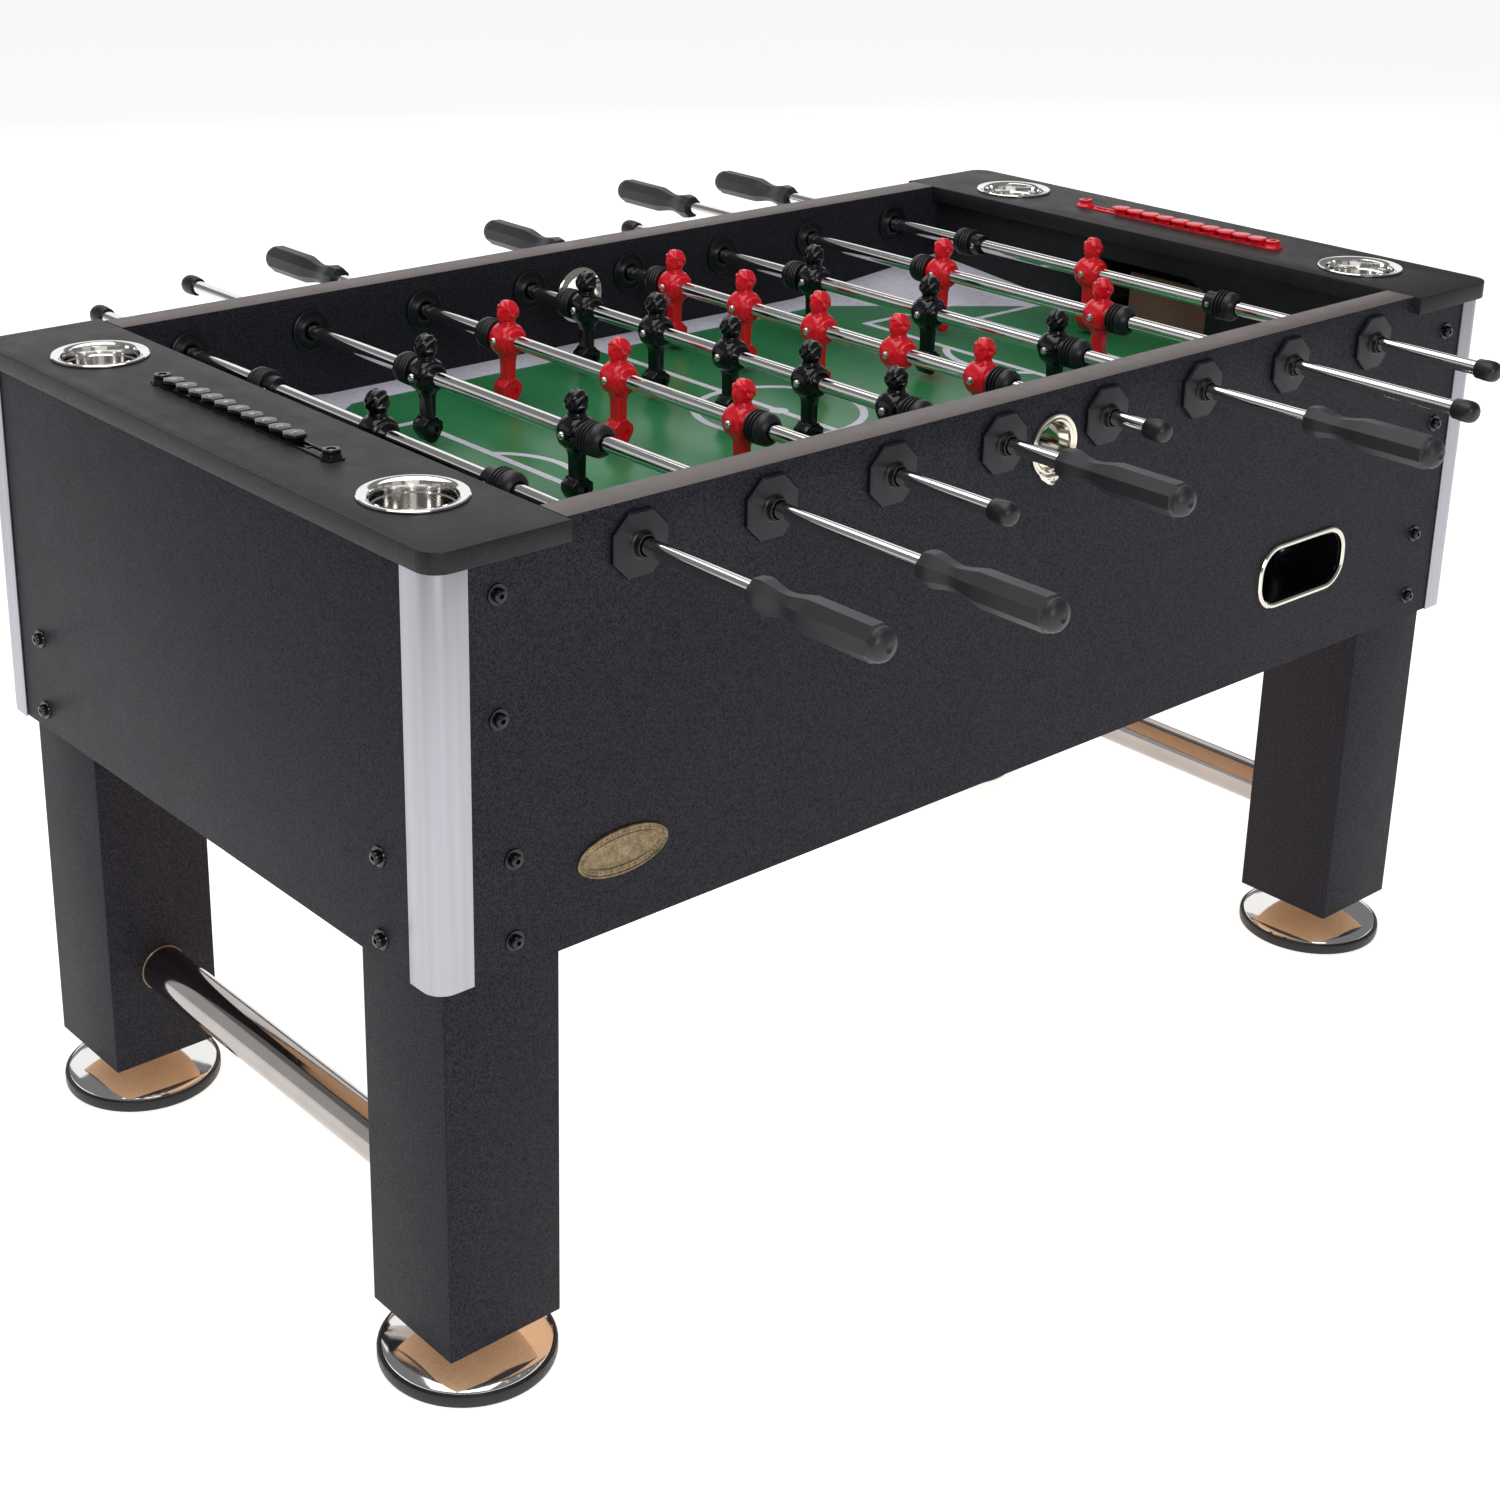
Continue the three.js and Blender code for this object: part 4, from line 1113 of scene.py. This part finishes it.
fixed("plaque", plaque(), [BRONZE])


# ---------------------------------------------------------------- players
def section(width_x, width_y, corner, height):
    """A round-cornered cross-section of a player, level at a height."""
    return [Vector((x, y, height)) for x, y in rounded(width_x, width_y, corner, 4)]


HEAD_CENTRE = Vector((0, 0, 29.6))
# the face and ears: a direction from the head's centre, how wide the swelling is, and how high
FEATURES = (
    ((-1, 0, -0.08), 0.17, 2.0), ((-0.96, 0, 0.14), 0.11, 0.7),
    ((-0.92, 0.36, 0.12), 0.14, -0.9), ((-0.92, -0.36, 0.12), 0.14, -0.9),
    ((-0.92, 0.3, 0.34), 0.16, 0.5), ((-0.92, -0.3, 0.34), 0.16, 0.5),
    ((-0.94, 0, -0.4), 0.13, 0.45), ((-0.86, 0, -0.62), 0.2, 1.1),
    ((-0.94, 0, -0.31), 0.05, -0.4), ((-0.05, 0.98, -0.05), 0.16, 1.3),
    ((-0.05, -0.98, -0.05), 0.16, 1.3),
)


def head():
    """A head with combed waves of hair and a calm, simple face towards -X."""
    columns, rows = 64, 44
    rings = []
    for row in range(1, rows):
        polar = math.pi * row / rows
        points = []
        for column in range(columns):
            around = TAU * column / columns
            way = Vector((
                -math.sin(polar) * math.cos(around), math.sin(polar) * math.sin(around),
                math.cos(polar),
            ))
            front = -way.x
            reach = 1 / math.sqrt((way.x / 12.0) ** 2 + (way.y / 10.6) ** 2 + (way.z / 13.4) ** 2)
            hair = min(max((0.42 - front + max(way.z - 0.1, 0) * 0.95) * 5, 0), 1)
            hair *= min(max((way.z + 0.45) * 4, 0), 1)
            wave = math.sin(9 * way.y + 2.2 * math.sin(5 * way.z + 2.5 * way.x))
            reach += hair * (1.1 + 0.75 * wave)
            for centre, size, height in FEATURES:
                apart = (way - Vector(centre)).length_squared
                reach += height * math.exp(-apart / (2 * size * size))
            points.append(way * reach + HEAD_CENTRE)
        rings.append(points)
    return loft(rings)


def player_foot():
    """The boot: square shoulders that run down to a blunt toe, hollow in both sides."""
    outline = [
        (-6.4, -45), (-7.4, -47.5), (-13, -51.5), (-13, -59), (-9.6, -65), (-5, -71.2), (-2.4, -73),
        (2.4, -73), (5, -71.2), (9.6, -65), (13, -59), (13, -51.5), (7.4, -47.5), (6.4, -45),
    ]
    boot = prism(outline, -9.8, 9.8, plane="XZ", bevel=0.9)
    hollow = [(-6.4, -55), (-6.4, -60), (-2.6, -66.4), (2.6, -66.4), (6.4, -60), (6.4, -55)]
    return carved(boot, *(prism(hollow, sign * 6.8, sign * 12, plane="XZ") for sign in (-1, 1)))


def player():
    """One moulded player facing -X, with the rod's bore along Y."""
    torso = revolved(
        [(12.4, -17), (13.4, -16.2), (13.6, -13.6), (16.6, -12.4), (18.6, -8.6), (19.3, -3),
         (19.3, 3), (18.6, 8.6), (16.6, 12.4), (13.6, 13.6), (13.4, 16.2), (12.4, 17)],
        48, "Y",
    )
    neck = revolved(
        [(14.5, 9), (12.2, 14.5), (9.2, 17.6), (7.2, 19.6), (6.4, 22), (6.8, 27)], 32,
    )
    collar = revolved([(7, 18.2), (9.0, 17.8), (9.6, 18.8), (8.8, 20.2), (7, 20.4)], 32, loop=True)
    hips = loft([
        section(30, 27, 9, -6), section(24, 23, 8, -14), section(17, 18.5, 6, -20),
        section(13.6, 16.6, 3.4, -25), section(12.6, 15.8, 2.4, -34), section(12.2, 15.6, 2.4, -50),
        section(12.6, 16, 2.4, -56),
    ])
    thing = temporary(merged(torso, neck, collar, hips, head()))
    blend = thing.modifiers.new("blend", "REMESH")
    blend.mode = "VOXEL"
    blend.voxel_size = 0.62
    ease = thing.modifiers.new("ease", "SMOOTH")
    ease.factor = 0.5
    ease.iterations = 3
    thin = thing.modifiers.new("thin", "DECIMATE")
    thin.ratio = 0.16
    body = worked(thing)
    bore = revolved([(8.02, -25), (8.02, 25)], 32, "Y")
    return merged(carved(body, bore), player_foot())


def screw_head():
    """A pan head with a crossed recess, standing out along -X from a player's chest."""
    dome = revolved(
        [(4.2, -17.5), (4.3, -20.0), (3.7, -21.2), (2.2, -21.9), (0.6, -22.1)], 24, "X",
    )
    cross = [
        board((-23, -20.4), (-0.55, 0.55), (-2.3, 2.3), 0),
        board((-23, -20.4), (-2.3, 2.3), (-0.55, 0.55), 0),
    ]
    return carved(carved(dome, cross[0]), cross[1])


man_shape = player()
man_meshes = {
    "red": mesh_of(man_shape.copy(), "man_red", [RED_GLOSS], smooth=60),
    "black": mesh_of(moved(man_shape, turn=180), "man_black", [BLACK_GLOSS], smooth=60),
}


# ---------------------------------------------------------------- rods
def bumper():
    """A ribbed rubber bumper: ribs towards the player at +Y, cone towards the bearing at -Y."""
    profile = [(9.1, 14), (13.4, 14)]
    for top in (14, 9.4, 4.8):
        profile += [
            (15.6, top - 0.1), (17.0, top - 0.9), (17.4, top - 1.9), (17.0, top - 2.8),
            (15.6, top - 3.3), (13.2, top - 3.7), (13.2, top - 4.4),
        ]
    profile += [
        (15.6, 0), (16.9, -0.6), (17.2, -1.8), (16.9, -6.2), (15.9, -8.6), (13.4, -11.4),
        (10.8, -13.5), (9.1, -14),
    ]
    return revolved(profile, 40, "Y", loop=True)


def stop_collar():
    """A plain collar with its grub screw, centred on the origin."""
    half = COLLAR_LENGTH / 2
    body = revolved(
        [(8.1, -half), (12.0, -half), (13, 1 - half), (13, half - 1), (12.0, half), (8.1, half)],
        36, "Y", loop=True,
    )
    screw = revolved([(3.2, -12.4), (3.2, -13.6), (2.2, -14.2)], 20, "X")
    return merged(body, painted(screw))


def grip():
    """An eight-sided handle from the rod outwards along +Y."""
    profile = [
        (8.2, 26), (8.2, 0), (13.6, 0, 8), (15.0, 1.0, 8), (16.5, 10, 8), (16.0, 16, 8),
        (13.4, 26, 8), (11.9, 34, 8), (11.7, 40, 8), (12.6, 47, 8), (15.2, 58, 8), (17.0, 67, 8),
        (17.0, 100, 8), (17.0, 138.4, 8), (16.0, 140.8, 8), (15.2, 141.6), (14.7, 144.4),
        (13.2, 147.4), (10.6, 149.8), (7.2, 151.4), (4.2, 152), (3.0, 151.2), (1.4, 150.6),
        (0.4, 150.5),
    ]
    return revolved(profile, 32, "Y")


def end_cap():
    """A rubber cap for the free end of a rod, outwards along +Y."""
    profile = [
        (8.0, 22), (8.0, 0), (10.0, 0), (10.8, 1.2), (11.0, 8), (11.5, 9.4), (11.5, 17), (11.1, 20),
        (9.8, 23), (7.2, 25.2), (3.8, 26), (0.5, 26),
    ]
    return revolved(profile, 32, "Y")


bumper_mesh = mesh_of(bumper(), "bumper", [RUBBER], smooth=40)
collar_mesh = mesh_of(stop_collar(), "stop_collar", [NYLON, CHROME])
grip_mesh = mesh_of(grip(), "grip", [GRIP], smooth=14)
end_cap_mesh = mesh_of(end_cap(), "end_cap", [RUBBER], smooth=40)
screw_mesh = mesh_of(screw_head(), "player_screw", [CHROME])


def rod_shaft(number, travel, handle_side):
    """The chrome tube from inside its handle to inside its end cap."""
    in_handle = -(HUB_FACE + HANDLE_CLEARANCE + travel + ROD_IN_HANDLE)
    in_cap = HUB_FACE + END_CAP_CLEARANCE + travel + ROD_IN_END_CAP
    ends = (in_handle, in_cap) if handle_side < 0 else (-in_cap, -in_handle)
    profile = [
        (ROD_RADIUS - 0.8, ends[0]), (ROD_RADIUS, ends[0] + 0.8), (ROD_RADIUS, ends[1] - 0.8),
        (ROD_RADIUS - 0.8, ends[1]),
    ]
    return mesh_of(revolved(profile, 56, "Y"), f"rod_shaft_{number}", [CHROME])


def placed(number, rest, y, facing=1):
    """The place of a piece on a rod, y from the rod's middle, turned round when facing is -1."""
    spot = Vector((rod_x(number), rest + y, ROD_Z)) * MM
    return Matrix.Translation(spot) @ (AS_MADE if facing > 0 else HALF_TURN)


for number, row in enumerate(RODS, start=1):
    men, team, handle_side, rest = row
    line_up = LINE_UPS[men]
    rider = f"player_rod_{number}"
    slot = f"{team}_plastic"
    travel = BEARING_FACE - BUMPER_CLEARANCE - (line_up["bumper"] + BUMPER_HALF)
    piece(f"rod_shaft_{number}", rod_shaft(number, travel, handle_side), rider,
          [f"rod_{number}"], placed(number, rest, 0))
    for index, y in enumerate(line_up["men"], start=1):
        piece(f"man_{number}_{index}", man_meshes[team], rider, place=placed(number, rest, y))
        piece(f"screw_{number}_{index}", screw_mesh, rider, place=placed(number, rest, y))
    piece(f"bumper_front_{number}", bumper_mesh, f"slider_{number}",
          [f"bumper_{number}"], placed(number, rest, -line_up["bumper"]))
    piece(f"bumper_back_{number}", bumper_mesh, rider,
          place=placed(number, rest, line_up["bumper"], -1))
    if men == 1:
        reach = line_up["bumper"] - BUMPER_HALF - GAP - COLLAR_LENGTH / 2
        for label, sign in (("front", -1), ("back", 1)):
            piece(f"collar_{label}_{number}", collar_mesh, rider,
                  place=placed(number, rest, sign * reach))
    piece(f"grip_{number}", grip_mesh, rider, [f"handle_{number}"],
          placed(number, rest, handle_side * (HUB_FACE + HANDLE_CLEARANCE + travel), handle_side))
    reach = -handle_side * (HUB_FACE + END_CAP_CLEARANCE + travel)
    piece(f"end_cap_{number}", end_cap_mesh, rider,
          place=placed(number, rest, reach, -handle_side))

frame["nodes"]["bottom_board"].material_slots[0].material = MDF
